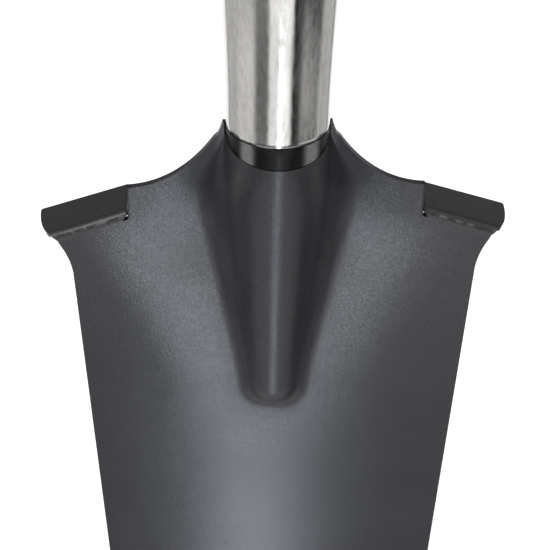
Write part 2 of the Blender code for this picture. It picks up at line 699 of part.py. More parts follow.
def make_shell(name, front, material):
    """One half of the handle, split along Y = 0."""
    side = -1.0 if front else 1.0
    shell = add_object(name, frame_body(), material)
    boolean(shell, add_cutter(name + "_cup", cup_body()), "UNION")

    low_y, high_y = (-GAP / 2, 60 * MM) if front else (-60 * MM, GAP / 2)
    square = ((-90 * MM, 0.5), (90 * MM, 0.5), (90 * MM, 0.85), (-90 * MM, 0.85))
    boolean(shell, add_cutter(name + "_other_half", prism(square, low_y, high_y)), "DIFFERENCE")

    opening = hull_outline(OPENING_BOTTOM, OPENING_TOP, 0.0, 7)
    boolean(shell, add_cutter(name + "_opening", prism(opening, -THROUGH, THROUGH)), "DIFFERENCE")
    reach = GRIP_RADIUS + SLEEVE_ROOM_EXTRA_RADIUS
    length = GRIP_HALF_LENGTH + 1.0 * MM
    sleeve_room = turned(((reach, -length), (reach, length)), "X",
                         (0, 0, GRIP_CENTRE_Z + SLEEVE_ROOM_RAISE), 24)
    boolean(shell, add_cutter(name + "_sleeve_room", sleeve_room), "DIFFERENCE")
    bar_radius = GRIP_BAR_RADIUS + GAP
    bar_room = GRIP_BAR_HALF_LENGTH + GAP
    bar_hole = turned(((bar_radius, -bar_room), (bar_radius, bar_room)), "X",
                      (0, 0, GRIP_CENTRE_Z), 24, turn=HOLE_TURN)
    boolean(shell, add_cutter(name + "_bar_hole", bar_hole), "DIFFERENCE")

    top = NECK_Z + SHAFT_LENGTH
    bore = turned(((SHAFT_RADIUS + GAP, SOCKET_CUP_BOTTOM_Z - 10 * MM - top),
                   (SHAFT_RADIUS + GAP, BORE_TOP_CLEARANCE)), "Z", (0, 0, top), 48)
    boolean(shell, add_cutter(name + "_bore", bore), "DIFFERENCE")
    bolt_hole = turned(((CROSS_HOLE_RADIUS, 0.0), (CROSS_HOLE_RADIUS, side * THROUGH)),
                       "Y", (0, 0, BOLT_Z), 20, turn=HOLE_TURN)
    boolean(shell, add_cutter(name + "_bolt_hole", bolt_hole), "DIFFERENCE")
    seat = turned(((BOLT_SEAT_RADIUS, side * BOLT_SEAT_Y), (BOLT_SEAT_RADIUS, side * THROUGH)),
                  "Y", (0, 0, BOLT_Z), 28, turn=HOLE_TURN)
    boolean(shell, add_cutter(name + "_bolt_seat", seat), "DIFFERENCE")
    boolean(shell, inner_hollow(front), "DIFFERENCE")

    for number, (x, z) in enumerate(SCREW_PLACES):
        hole_end = -SCREW_LENGTH - 1.0 * MM if front else THROUGH
        hole = turned(((SCREW_SHANK_RADIUS + GAP, -side * 1.0 * MM),
                       (SCREW_SHANK_RADIUS + GAP, hole_end)), "Y", (x, 0, z), 16)
        boolean(shell, add_cutter(f"{name}_screw_hole_{number}", hole), "DIFFERENCE")
        if not front:
            head_seat = FRAME_HALF_DEPTH - SCREW_HEAD_HEIGHT - GAP
            recess = turned(((SCREW_HEAD_RADIUS + GAP, head_seat), (SCREW_HEAD_RADIUS + GAP, THROUGH)),
                            "Y", (x, 0, z), 20)
            boolean(shell, add_cutter(f"{name}_screw_recess_{number}", recess), "DIFFERENCE")

    return shell


def make_grip_bar(material):
    edge = 0.5 * MM
    end = GRIP_BAR_HALF_LENGTH
    inner = GRIP_BAR_RADIUS - GRIP_BAR_WALL
    profile = (
        (GRIP_BAR_RADIUS - edge, -end),
        (GRIP_BAR_RADIUS, -end + edge),
        (GRIP_BAR_RADIUS, end - edge),
        (GRIP_BAR_RADIUS - edge, end),
        (inner, end),
        (inner, -end),
    )
    return add_object("grip_bar", turned(profile, "X", (0, 0, GRIP_CENTRE_Z), 28, closed=True),
                      material)


def make_grip_sleeve(material):
    """Soft sleeve on the grip bar, a little fuller in the middle."""
    half = GRIP_HALF_LENGTH - GAP
    outer = []
    for i in range(-4, 5):
        along = half * math.sin(0.5 * math.pi * i / 4)
        fullness = math.cos(0.5 * math.pi * along / half * 0.8)
        outer.append((GRIP_RADIUS - 2.0 * MM * (1.0 - fullness), along))
    edge = 1.2 * MM
    outer[0] = (outer[0][0], -half + edge)
    outer[-1] = (outer[-1][0], half - edge)
    outer.insert(0, (outer[0][0] - edge, -half))
    outer.append((outer[-1][0] - edge, half))
    inner = GRIP_BAR_RADIUS + GAP
    profile = outer + [(inner, half), (inner, -half)]
    return add_object("grip_sleeve", turned(profile, "X", (0, 0, GRIP_CENTRE_Z), 28, closed=True),
                      material)


def make_screw(name, place, material):
    """Cross-recess screw driven in from the rear until its head is flush."""
    x, z = place
    head_top = FRAME_HALF_DEPTH
    seat = head_top - SCREW_HEAD_HEIGHT
    profile = (
        (SCREW_SHANK_RADIUS * 0.4, -SCREW_LENGTH),
        (SCREW_SHANK_RADIUS, -SCREW_LENGTH + SCREW_POINT_LENGTH),
        (SCREW_SHANK_RADIUS, seat),
        (SCREW_HEAD_RADIUS, seat),
        (SCREW_HEAD_RADIUS, head_top - 0.8 * MM),
        (SCREW_HEAD_RADIUS - 0.8 * MM, head_top),
    )
    screw = add_object(name, turned(profile, "Y", (x, 0, z), 20), material)
    slot_bottom = head_top - SCREW_SLOT_DEPTH
    arms = ((SCREW_SLOT_HALF_LENGTH, SCREW_SLOT_HALF_WIDTH),
            (SCREW_SLOT_HALF_WIDTH, SCREW_SLOT_HALF_LENGTH))
    for number, (half_x, half_z) in enumerate(arms):
        square = ((x - half_x, z - half_z), (x + half_x, z - half_z),
                  (x + half_x, z + half_z), (x - half_x, z + half_z))
        slot = prism(square, slot_bottom, head_top + THROUGH)
        boolean(screw, add_cutter(f"{name}_slot_{number}", slot), "DIFFERENCE")
    return screw


def make_bolt(material):
    """Button-headed bolt through the cup, shaft and plug, head at the front."""
    head_seat = BOLT_SEAT_Y + WASHER_THICKNESS + 2 * GAP
    profile = (
        (0.6 * BOLT_HEAD_RADIUS, -head_seat - BOLT_HEAD_HEIGHT),
        (0.93 * BOLT_HEAD_RADIUS, -head_seat - 0.6 * BOLT_HEAD_HEIGHT),
        (BOLT_HEAD_RADIUS, -head_seat - 0.2 * BOLT_HEAD_HEIGHT),
        (BOLT_HEAD_RADIUS, -head_seat),
        (BOLT_RADIUS, -head_seat),
        (BOLT_RADIUS, head_seat + 5.6 * MM),
        (BOLT_RADIUS - 0.6 * MM, head_seat + 6.2 * MM),
    )
    bolt = add_object("handle_bolt", turned(profile, "Y", (0, 0, BOLT_Z), 24), material)
    key_bottom = -head_seat - BOLT_HEAD_HEIGHT + BOLT_KEY_DEPTH
    key = turned(((BOLT_KEY_RADIUS, -THROUGH), (BOLT_KEY_RADIUS, key_bottom)),
                 "Y", (0, 0, BOLT_Z), 6)
    boolean(bolt, add_cutter("bolt_key_socket", key), "DIFFERENCE")
    return bolt


def make_washer(name, side, material):
    inner = BOLT_RADIUS + GAP
    low = BOLT_SEAT_Y + GAP
    high = low + WASHER_THICKNESS
    profile = ((inner, side * low), (WASHER_RADIUS, side * low),
               (WASHER_RADIUS, side * high), (inner, side * high))
    return add_object(name, turned(profile, "Y", (0, 0, BOLT_Z), 28, closed=True), material)


def make_nut(material):
    """Hexagon nut on the rear end of the bolt."""
    low = BOLT_SEAT_Y + WASHER_THICKNESS + 2 * GAP
    high = low + NUT_HEIGHT
    bm = bmesh.new()
    inner = BOLT_RADIUS + GAP
    rings = [
        ring(bm, inner, (0, low, BOLT_Z), "Y", 24),
        ring(bm, NUT_CORNER_RADIUS, (0, low, BOLT_Z), "Y", 24),
        ring(bm, NUT_CORNER_RADIUS, (0, high, BOLT_Z), "Y", 24),
        ring(bm, inner, (0, high, BOLT_Z), "Y", 24),
    ]
    flat = NUT_CORNER_RADIUS * math.cos(math.pi / 6)
    for outline in rings[1:3]:
        for i, vertex in enumerate(outline):
            angle = 2.0 * math.pi * i / 24
            off_flat = (angle + math.pi / 6) % (math.pi / 3) - math.pi / 6
            radius = flat / math.cos(abs(off_flat))
            vertex.co.x = radius * math.sin(angle)
            vertex.co.z = BOLT_Z + radius * math.cos(angle)
    for first, second in zip(rings, rings[1:] + rings[:1]):
        bridge(bm, first + first[:1], second + second[:1])
    return add_object("handle_nut", bm, material)


remove_everything()
CUTTER_MATERIAL = make_material("cutter", (0.8, 0.2, 0.2), 0.5, 0.0)

coated_steel = make_material("coated_steel", (0.055, 0.055, 0.062), 0.55, 0.2)
coated_socket = make_material("coated_socket", (0.055, 0.055, 0.062), 0.55, 0.2)
coated_weld = make_material("coated_weld", (0.05, 0.05, 0.055), 0.5, 0.2)
black_collar = make_material("black_collar", (0.012, 0.012, 0.013), 0.15, 0.0)
bare_steel = make_material("bare_steel", (0.38, 0.38, 0.4), 0.4, 1.0)
stainless = make_material("stainless", (0.62, 0.61, 0.6), 0.25, 1.0)
plug_plastic = make_material("plug_plastic", (0.08, 0.08, 0.085), 0.6, 0.0)
shell_plastic = make_material("shell_plastic", (0.03, 0.03, 0.032), 0.5, 0.0)
bar_aluminium = make_material("bar_aluminium", (0.7, 0.7, 0.72), 0.35, 1.0)
soft_grip = make_material("soft_grip", (0.045, 0.046, 0.05), 0.85, 0.0)
zinc = make_material("zinc", (0.6, 0.6, 0.62), 0.3, 1.0)

make_blade(coated_steel)
make_socket_back(coated_socket)
make_weld("socket_weld_left", -1, coated_weld)
make_weld("socket_weld_right", 1, coated_weld)
make_collar(black_collar)
make_tang(bare_steel)
make_shaft(stainless)
make_tube_plug(plug_plastic)
make_shell("handle_shell_front", True, shell_plastic)
make_shell("handle_shell_rear", False, shell_plastic)
make_grip_bar(bar_aluminium)
make_grip_sleeve(soft_grip)
for screw_number, screw_place in enumerate(SCREW_PLACES, start=1):
    make_screw(f"shell_screw_{screw_number}", screw_place, zinc)
make_bolt(zinc)
make_washer("washer_front", -1, zinc)
make_washer("washer_rear", 1, zinc)
make_nut(zinc)
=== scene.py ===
"""Detecting shovel: the looks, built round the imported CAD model."""
import math

import bmesh
import bpy
from mathutils import Matrix, Vector


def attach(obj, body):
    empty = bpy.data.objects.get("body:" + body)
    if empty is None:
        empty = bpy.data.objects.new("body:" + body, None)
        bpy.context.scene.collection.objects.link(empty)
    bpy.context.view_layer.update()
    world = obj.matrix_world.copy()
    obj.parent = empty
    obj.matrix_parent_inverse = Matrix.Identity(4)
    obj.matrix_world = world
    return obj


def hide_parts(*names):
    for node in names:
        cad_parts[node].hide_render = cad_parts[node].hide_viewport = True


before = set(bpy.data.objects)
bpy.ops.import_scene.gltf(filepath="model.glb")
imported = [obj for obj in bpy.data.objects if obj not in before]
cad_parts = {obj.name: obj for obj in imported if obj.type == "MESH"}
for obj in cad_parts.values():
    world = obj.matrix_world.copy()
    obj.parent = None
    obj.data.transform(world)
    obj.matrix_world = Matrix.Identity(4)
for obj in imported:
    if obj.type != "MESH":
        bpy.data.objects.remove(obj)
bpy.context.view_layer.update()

MM = 0.001

# Blade sheet: sizes that the CAD model shares. Curves are (x, z from the neck) in millimetres.
NECK_Z = 250 * MM
BLADE_THICKNESS = 2.2 * MM
CUTTING_EDGE_THICKNESS = 0.9 * MM
CUTTING_EDGE_WIDTH = 9 * MM
CUTTING_EDGE_TOP_Z = 60 * MM
SHOULDER_CURVE = ((17.4, -0.6), (22.4, -10.5), (32.3, -25.7), (49.8, -26.2))
FLARE_CURVE = ((73.7, -48.2), (71.8, -51.5), (70.0, -55.5), (69.4, -61.0))
TIP_CURVE = ((61.9, -214.0), (61.0, -233.0), (33.0, -250.0), (2.0, -250.0))
EAR_BASE_X = 19.4 * MM
EAR_ROOT_WIDTH = 2.1 * MM
EAR_TIP_WIDTH = 0.5 * MM

# The socket bulge, and the shallow valley that the sheet makes beside it, in millimetres at
# each depth below the neck. Flanks, feet and the valley's widths are half widths.
SECTION_DEPTHS = (0.0, 5.0, 25.0, 48.0, 74.0, 98.0, 112.0)
BULGE_HEIGHTS = (17.3, 17.0, 14.4, 11.0, 7.6, 4.9, 3.6)
BULGE_FLANKS = (16.6, 16.6, 16.3, 14.3, 11.8, 9.0, 7.8)
BULGE_FEET = (17.3, 17.4, 27.5, 26.2, 21.2, 16.4, 14.3)
BULGE_SOFTNESS = 2.6
BULGE_TOE_LENGTH = 16 * MM
SECTION_END = SECTION_DEPTHS[-1] * MM
VALLEY_HEIGHTS = (0.0, 0.0, 1.4, 3.3, 1.9, 0.9, 0.45)
VALLEY_HALF_WIDTHS = (76.0, 76.0, 76.0, 68.0, 55.0, 43.0, 38.0)
VALLEY_FADE_LENGTH = 40 * MM
RIM_BLEND_LENGTH = 24 * MM

# Where the blade's coat is worn to the metal, and has a painted highlight round the tread folds,
# painted shade beside the neck and in the notches, and rougher where the sheet was drawn into the
# bulge
EDGE_WEAR = 0.62
EDGE_WEAR_TOP_Z = 0.200
EDGE_WEAR_FADE = 12 * MM
TREAD_WEAR_AND_HIGHLIGHT = 0.72
TREAD_HIGHLIGHT_ANGLE = 34.0
TREAD_HIGHLIGHT_SPREAD = 20.0
DRAWN_FADE = 11 * MM
NECK_SHADE = 0.85
NECK_SHADE_START_X = 16.4 * MM
NECK_SHADE_INNER_FADE = 5 * MM
NECK_SHADE_HALF_WIDTH = 26 * MM
NECK_SHADE_START_Z = 0.214
NECK_SHADE_FADE = 12 * MM
NOTCH_END_DEPTH = 44 * MM
NOTCH_END_REACH = 1.2 * MM

# Foot treads, folded rearwards from the sheet
TREAD_INNER_X = 50.25 * MM
TREAD_FOLD_OUTER_X = 74 * MM
TREAD_OUTER_X = 80.5 * MM
TREAD_INNER_DEPTH = 36.35 * MM
TREAD_SLOPE = 0.335
TREAD_REAR_Y = 17.7 * MM
TREAD_BEND_RADIUS = 3 * MM
TREAD_END_LENGTH = 16 * MM
TREAD_REAR_CORNER_RADIUS = 0.8 * MM
NOTCH_RADIUS = 1.1 * MM

# Collar and rear socket
COLLAR_OUTER_RADIUS = 17 * MM
COLLAR_INNER_RADIUS = 14.6 * MM
COLLAR_SIDE_DEPTH = 4.9 * MM
COLLAR_SLANT = 0.194
SOCKET_BACK_THICKNESS = 2 * MM
SOCKET_BACK_END_DEPTH = 72 * MM
SOCKET_BACK_END_LENGTH = 16 * MM
SOCKET_BACK_END_CROWN_Y = 7.5 * MM
SOCKET_BACK_END_HALF_WIDTH = 12 * MM
SOCKET_BACK_HALF_WIDTH = 17 * MM
SOCKET_BACK_POWER = 2.2
SOCKET_BACK_ROUND_DEPTH = 34 * MM
SOCKET_BACK_CLEARANCE = 0.8 * MM
SOCKET_SETTLE_START = 10 * MM
SOCKET_SETTLE_LENGTH = 24 * MM
SOCKET_FLANGE = 5 * MM
SOCKET_FLANGE_START = 12 * MM
SOCKET_FLANGE_LENGTH = 20 * MM
SEAM = 0.3 * MM
WELD_RADIUS = 1.7 * MM
WELD_START_DEPTH = 24 * MM
# Angle and half width, in degrees round the collar, of its two grey patches of painted reflection
COLLAR_PAINTED_REFLECTIONS = ((-38.0, 8.5), (38.0, 10.0))
SHEET_SHARP_DEGREES = 50.0
SHEET_EDGE_ROUNDING = 0.35 * MM

# Shaft
SHAFT_NECK_RADIUS = 17 * MM
SHAFT_RADIUS = 19.05 * MM
SHAFT_WALL = 1.5 * MM
SHAFT_LENGTH = 385 * MM
SWAGE_LENGTH = 80 * MM

# Handle: frame and opening outlines are (x, z, radius) of the circles they run round
SOCKET_CUP_RADIUS = 24 * MM
SOCKET_CUP_BOTTOM_Z = 0.588
SOCKET_CUP_TOP_Z = 0.652
FRAME_BOTTOM = (0.0, 0.662, 24 * MM)
FRAME_TOP = (43 * MM, 0.736, 23 * MM)
OPENING_BOTTOM = (9 * MM, 0.687, 8 * MM)
OPENING_TOP = (37 * MM, 0.722, 8 * MM)
FRAME_HALF_DEPTH = 13.5 * MM
FRAME_BEVEL = 5 * MM
GROOVE_OFFSET = 4.2 * MM
GROOVE_WIDTH = 1.1 * MM
GROOVE_DEPTH = 0.7 * MM
GRIP_CENTRE_Z = 0.741
GRIP_RADIUS = 14.5 * MM
GRIP_HALF_LENGTH = 42 * MM
GRIP_BAR_RADIUS = 8 * MM
GRIP_BAR_HALF_LENGTH = 56 * MM
RIB_PITCH = 3.8 * MM
RIB_DEPTH = 0.8 * MM
BOLT_Z = 0.612
BOLT_RADIUS = 3 * MM
BOLT_HEAD_RADIUS = 5.6 * MM
BOLT_HEAD_HEIGHT = 3 * MM
BOLT_SEAT_Y = 21.4 * MM
BOLT_SEAT_RADIUS = 8 * MM
WASHER_RADIUS = 7 * MM
WASHER_THICKNESS = 1.2 * MM
NUT_CORNER_RADIUS = 5.77 * MM
NUT_HEIGHT = 5 * MM
SCREW_SHANK_RADIUS = 1.9 * MM
SCREW_HEAD_RADIUS = 3.6 * MM
SCREW_HEAD_HEIGHT = 2.4 * MM
SCREW_PLACES = ((-19 * MM, 0.674), (19 * MM, 0.674), (-56.5 * MM, 0.722), (56.5 * MM, 0.722))
# Further out along Y than any part of the handle, for cuts that go right through
THROUGH = 40 * MM
# Turns the holes' facets, so that none of their edges lies on another cut's edge
HOLE_TURN = 0.11

# Camera, placed from the neck of the shovel, with its angles in degrees
CAMERA_AWAY = 479.5 * MM
CAMERA_ABOVE = 306.1 * MM
CAMERA_PITCH = 37.6
CAMERA_YAW = -3.1
CAMERA_ROLL = 1.05
CAMERA_LENS = 114.5


# ---- Small tools ----

def smoothstep(value):
    value = min(max(value, 0.0), 1.0)
    return value * value * (3.0 - 2.0 * value)


def mix(low, high, share):
    return low + (high - low) * share


def bezier(points, share):
    """A point, in metres, on a cubic curve whose control points are in millimetres."""
    rest = 1.0 - share
    weights = (rest ** 3, 3 * rest ** 2 * share, 3 * rest * share ** 2, share ** 3)
    return tuple(sum(w * p[axis] for w, p in zip(weights, points)) * MM for axis in (0, 1))


def quarter_turn(steps):
    """(1 - cosine, 1 - sine) of evenly spaced angles from 0 to 90 degrees, for rounded edges."""
    angles = (0.5 * math.pi * i / steps for i in range(steps + 1))
    return [(1.0 - math.cos(angle), 1.0 - math.sin(angle)) for angle in angles]


def skin(bm, rows, round_rows=False, loop=False):
    """Quads between neighbouring rows of vertices. Round rows close on themselves, and in a
    loop the last row meets the first."""
    if round_rows:
        rows = [row + row[:1] for row in rows]
    for first, second in zip(rows, rows[1:] + rows[:1] if loop else rows[1:]):
        for i in range(len(first) - 1):
            bm.faces.new((first[i], first[i + 1], second[i + 1], second[i]))


def ring(bm, radius, centre, axis, segments, turn=0.0):
    """A closed ring of vertices round the X, Y or Z axis."""
    vertices = []
    for i in range(segments):
        angle = 2.0 * math.pi * i / segments + turn
        a, b = radius * math.cos(angle), radius * math.sin(angle)
        offset = {"X": (0.0, a, b), "Y": (b, 0.0, a), "Z": (a, b, 0.0)}[axis]
        vertices.append(bm.verts.new([c + o for c, o in zip(centre, offset)]))
    return vertices


def turned(profile, axis, centre, segments, closed=False, turn=0.0):
    """A solid turned from (radius, distance along the axis) pairs; closed ones are rings."""
    bm = bmesh.new()
    direction = {"X": (1, 0, 0), "Y": (0, 1, 0), "Z": (0, 0, 1)}[axis]
    rings = []
    for radius, along in profile:
        place = [c + d * along for c, d in zip(centre, direction)]
        rings.append(ring(bm, radius, place, axis, segments, turn))
    if not closed:
        bm.faces.new(rings[0])
        bm.faces.new(rings[-1])
    skin(bm, rings, True, closed)
    return bm


def rod(radius, low, high, axis, centre, segments, turn=0.0):
    return turned(((radius, low), (radius, high)), axis, centre, segments, turn=turn)


def add_object(name, data):
    made = bpy.data.objects.new(name, data)
    bpy.context.scene.collection.objects.link(made)
    return made


def make_object(name, bm, material, sharp_degrees=40.0):
    bmesh.ops.recalc_face_normals(bm, faces=bm.faces)
    mesh = bpy.data.meshes.new(name)
    bm.to_mesh(mesh)
    bm.free()
    mesh.shade_smooth()
    mesh.set_sharp_from_angle(angle=math.radians(sharp_degrees))
    if material:
        mesh.materials.append(material)
    return add_object(name, mesh)


def carve(piece, cuts, joined=()):
    """Join solids to the piece, then cut others out of it, and keep the finished mesh."""
    cutters = []
    for operation, bm in [("UNION", bm) for bm in joined] + [("DIFFERENCE", bm) for bm in cuts]:
        cutter = make_object("cutter", bm, None)
        modifier = piece.modifiers.new(operation, "BOOLEAN")
        modifier.operation, modifier.object, modifier.solver = operation, cutter, "EXACT"
        cutters.append(cutter)
    evaluated = piece.evaluated_get(bpy.context.evaluated_depsgraph_get())
    finished = bpy.data.meshes.new_from_object(evaluated)
    piece.modifiers.clear()
    spent = [piece.data] + [cutter.data for cutter in cutters]
    piece.data = finished
    for cutter in cutters:
        bpy.data.objects.remove(cutter)
    for mesh in spent:
        bpy.data.meshes.remove(mesh)
    # Boolean cuts leave slivers thinner than a micrometre, which are merged away
    clean = bmesh.new()
    clean.from_mesh(finished)
    bmesh.ops.remove_doubles(clean, verts=clean.verts, dist=0.001 * MM)
    clean.to_mesh(finished)
    clean.free()
    finished.shade_smooth()
    finished.set_sharp_from_angle(angle=math.radians(32.0))
    return piece


def stands_for(piece, node):
    """The piece rides on the shovel's one body in place of a CAD node."""
    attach(piece, "root")
    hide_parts(node)
    return piece


# ---- Materials ----

class Nodes:
    """A node tree, with short calls for the nodes that the materials and the world share."""

    def __init__(self, tree):
        self.tree = tree

    def feed(self, socket, value):
        """Give a socket a number, a vector or a colour, or link another node's output to it."""
        if isinstance(value, bpy.types.NodeSocket):
            self.tree.links.new(value, socket)
        else:
            socket.default_value = (*value, 1.0) if isinstance(value, tuple) else value

    def made(self, kind, output, inputs=None, **settings):
        node = self.tree.nodes.new(kind)
        for key, value in settings.items():
            setattr(node, key, value)
        for socket, value in (inputs or {}).items():
            self.feed(node.inputs[socket], value)
        return node.outputs[output]

    def math(self, operation, first, second):
        return self.made("ShaderNodeMath", "Value", {0: first, 1: second}, operation=operation)

    def span(self, source, low, high, to_low=0.0, to_high=1.0):
        """source from low to high becomes to_low to to_high, clamped."""
        inputs = {"Value": source, "From Min": low, "From Max": high,
                  "To Min": to_low, "To Max": to_high}
        return self.made("ShaderNodeMapRange", "Result", inputs, interpolation_type="SMOOTHSTEP")


class Shader(Nodes):
    """A material's nodes, placed by the object's own coordinates."""

    def __init__(self, name, **settings):
        self.material = bpy.data.materials.new(name)
        self.material.use_nodes = True
        super().__init__(self.material.node_tree)
        self.place = self.made("ShaderNodeTexCoord", "Object")
        for socket, value in settings.items():
            self.set(socket.replace("_", " "), value)

    def set(self, socket, value):
        self.feed(self.tree.nodes["Principled BSDF"].inputs[socket], value)

    def stretched(self, *scale):
        inputs = {"Vector": self.place, "Scale": Vector(scale)}
        return self.made("ShaderNodeMapping", "Vector", inputs)

    def noise(self, scale, detail=4.0, roughness=0.55, place=None):
        inputs = {"Vector": place or self.place, "Scale": scale, "Detail": detail,
                  "Roughness": roughness}
        return self.made("ShaderNodeTexNoise", "Fac", inputs)

    def cells(self, scale):
        inputs = {"Vector": self.place, "Scale": scale}
        return self.made("ShaderNodeTexVoronoi", "Distance", inputs)

    def blend(self, factor, first, second):
        inputs = {"Factor": factor, 6: first, 7: second}
        return self.made("ShaderNodeMix", 2, inputs, data_type="RGBA")

    def attribute(self, name):
        return self.made("ShaderNodeAttribute", "Fac", attribute_name=name)

    def bump(self, height, distance, strength=1.0, after=None):
        inputs = {"Height": height, "Distance": distance, "Strength": strength}
        if after:
            inputs["Normal"] = after
        return self.made("ShaderNodeBump", "Normal", inputs)


def powder_coat(name, marked=False):
    """Satin graphite powder coat: orange peel, a fine metallic speckle and a grained gloss. Marked
    sheets read from the mesh their wear and painted highlight, their painted shade and drawn
    places."""
    s = Shader(name, Specular_IOR_Level=0.25)
    mottled = s.noise(38.0, 3.0)
    speckle = s.noise(2600.0, 2.0, 0.7)
    flakes = s.span(s.cells(1500.0), 0.10, 0.32, 1.0, 0.0)
    colour = s.blend(s.span(mottled, 0.35, 0.65), (0.0100, 0.0100, 0.0128),
                     (0.0128, 0.0128, 0.0160))
    colour = s.blend(s.math("MULTIPLY", flakes, s.span(speckle, 0.52, 0.66)), colour,
                     (0.070, 0.070, 0.078))
    rough = s.span(mottled, 0.3, 0.7, 0.46, 0.52)
    if marked:
        # Lighter bare-metal colour: real wear on the lower edges, and a painted highlight round the
        # tread folds
        wear_and_highlight = s.attribute("wear_and_highlight")
        patchy = s.math("MULTIPLY", wear_and_highlight, s.span(s.noise(260.0, 5.0, 0.7), 0.40, 0.62))
        amount = s.span(patchy, 0.35, 0.95, 0.0, 0.8)
        colour = s.blend(amount, colour, (0.16, 0.16, 0.165))
        rough = s.math("SUBTRACT", rough, s.math("MULTIPLY", amount, 0.08))
    s.set("Base Color", colour)
    s.set("Roughness", rough)
    fine = s.bump(speckle, 0.00005, 0.5)
    peel = s.bump(s.noise(950.0, 3.0, 0.6), 0.0001, 0.28, fine)
    s.set("Normal", peel)
    s.set("Coat Normal", peel)
    coat = s.span(s.noise(1000.0, 3.0, 0.65), 0.34, 0.66, 0.66, 1.0)
    coat_rough = s.span(mottled, 0.3, 0.7, 0.175, 0.205)
    if marked:
        # Painted shade: the coat's gloss is taken away where the mesh marks it
        coat = s.math("MULTIPLY", coat, s.math("SUBTRACT", 1.0, s.attribute("painted_shade")))
        coat_rough = s.math("ADD", coat_rough, s.math("MULTIPLY", s.attribute("drawn"), 0.10))
    s.set("Coat Weight", coat)
    s.set("Coat Roughness", coat_rough)
    return s.material


def stainless():
    """Polished stainless tube with fine lengthwise brushing and faint stains."""
    s = Shader("stainless", Metallic=1.0)
    brushed = s.noise(1.0, 3.0, 0.6, s.stretched(900.0, 900.0, 240.0))
    broad = s.noise(1.0, 4.0, 0.6, s.stretched(260.0, 260.0, 60.0))
    stains = s.noise(60.0, 5.0, 0.62)
    colour = s.blend(s.span(stains, 0.35, 0.68), (0.64, 0.625, 0.605), (0.54, 0.525, 0.505))
    colour = s.blend(s.span(brushed, 0.3, 0.7), colour, (0.70, 0.69, 0.675))
    s.set("Base Color", colour)
    s.set("Roughness", s.math("ADD", s.span(brushed, 0.3, 0.7, 0.09, 0.15),
                              s.span(broad, 0.3, 0.7, 0.0, 0.05)))
    lines = s.bump(brushed, 0.00002, 0.25)
    s.set("Normal", s.bump(broad, 0.0001, 0.20, lines))
    return s.material


def gloss_black():
    """Black lacquer, with grey patches of painted reflection on both front quarters."""
    s = Shader("gloss_black", Specular_IOR_Level=0.16)
    smudge = s.noise(220.0, 4.0)
    grain = s.noise(700.0, 4.0, 0.7)
    # Grey patches on both front quarters: painted reflections on the black lacquer
    painted_reflection = s.math("MULTIPLY", s.attribute("painted_reflection"), s.span(grain, 0.25, 0.55, 0.55, 1.0))
    colour = s.blend(smudge, (0.003, 0.003, 0.0035), (0.008, 0.008, 0.0085))
    s.set("Base Color", s.blend(painted_reflection, colour, (0.145, 0.142, 0.14)))
    s.set("Roughness", s.span(smudge, 0.3, 0.7, 0.24, 0.34))
    s.set("Normal", s.bump(grain, 0.00008, 0.35))
    return s.material


def bare_steel():
    s = Shader("bare_steel", Metallic=1.0)
    turned_marks = s.noise(1.0, 2.0, 0.6, s.stretched(20.0, 20.0, 2500.0))
    s.set("Base Color", s.blend(turned_marks, (0.30, 0.30, 0.31), (0.45, 0.45, 0.46)))
    s.set("Roughness", s.span(turned_marks, 0.3, 0.7, 0.3, 0.45))
    s.set("Normal", s.bump(turned_marks, 0.00003, 0.4))
    return s.material


def moulded_plastic(name, dark, light):
    """Spark-eroded moulded plastic: a fine leathery grain with slightly shinier tops."""
    s = Shader(name)
    cells = s.cells(1100.0)
    mottled = s.noise(90.0, 3.0)
    s.set("Base Color", s.blend(s.span(mottled, 0.3, 0.7), dark, light))
    s.set("Roughness", s.span(cells, 0.1, 0.6, 0.42, 0.55))
    s.set("Normal", s.bump(cells, 0.00012, 0.35, s.bump(s.noise(2800.0, 2.0), 0.00003, 0.3)))
    return s.material


def soft_grip():
    """Matte elastomer, a little dusty in patches."""
    s = Shader("soft_grip", Sheen_Weight=0.15, Sheen_Roughness=0.4)
    dust = s.noise(140.0, 5.0, 0.65)
    s.set("Base Color", s.blend(s.span(dust, 0.45, 0.75), (0.030, 0.031, 0.034),
                                (0.062, 0.062, 0.064)))
    s.set("Roughness", s.span(dust, 0.3, 0.7, 0.72, 0.88))
    s.set("Normal", s.bump(s.noise(1900.0, 3.0), 0.00005, 0.5))
    return s.material


def plated_steel(name, warm=0.0):
    s = Shader(name, Metallic=1.0)
    mottled = s.noise(800.0, 4.0, 0.6)
    s.set("Base Color", s.blend(mottled, (0.50, 0.50, 0.52), (0.66 + warm, 0.66, 0.67 - warm)))
    s.set("Roughness", s.span(mottled, 0.3, 0.7, 0.24, 0.38))
    s.set("Normal", s.bump(mottled, 0.00002, 0.3))
    return s.material


def pale_floor():
    s = Shader("pale_floor", Roughness=0.9, Specular_IOR_Level=0.0,
               Emission_Color=(1.0, 1.0, 1.0), Emission_Strength=0.60)
    s.set("Base Color", s.blend(s.noise(3.0, 2.0), (0.90, 0.90, 0.90), (0.92, 0.92, 0.92)))
    return s.material


# ---- Blade ----

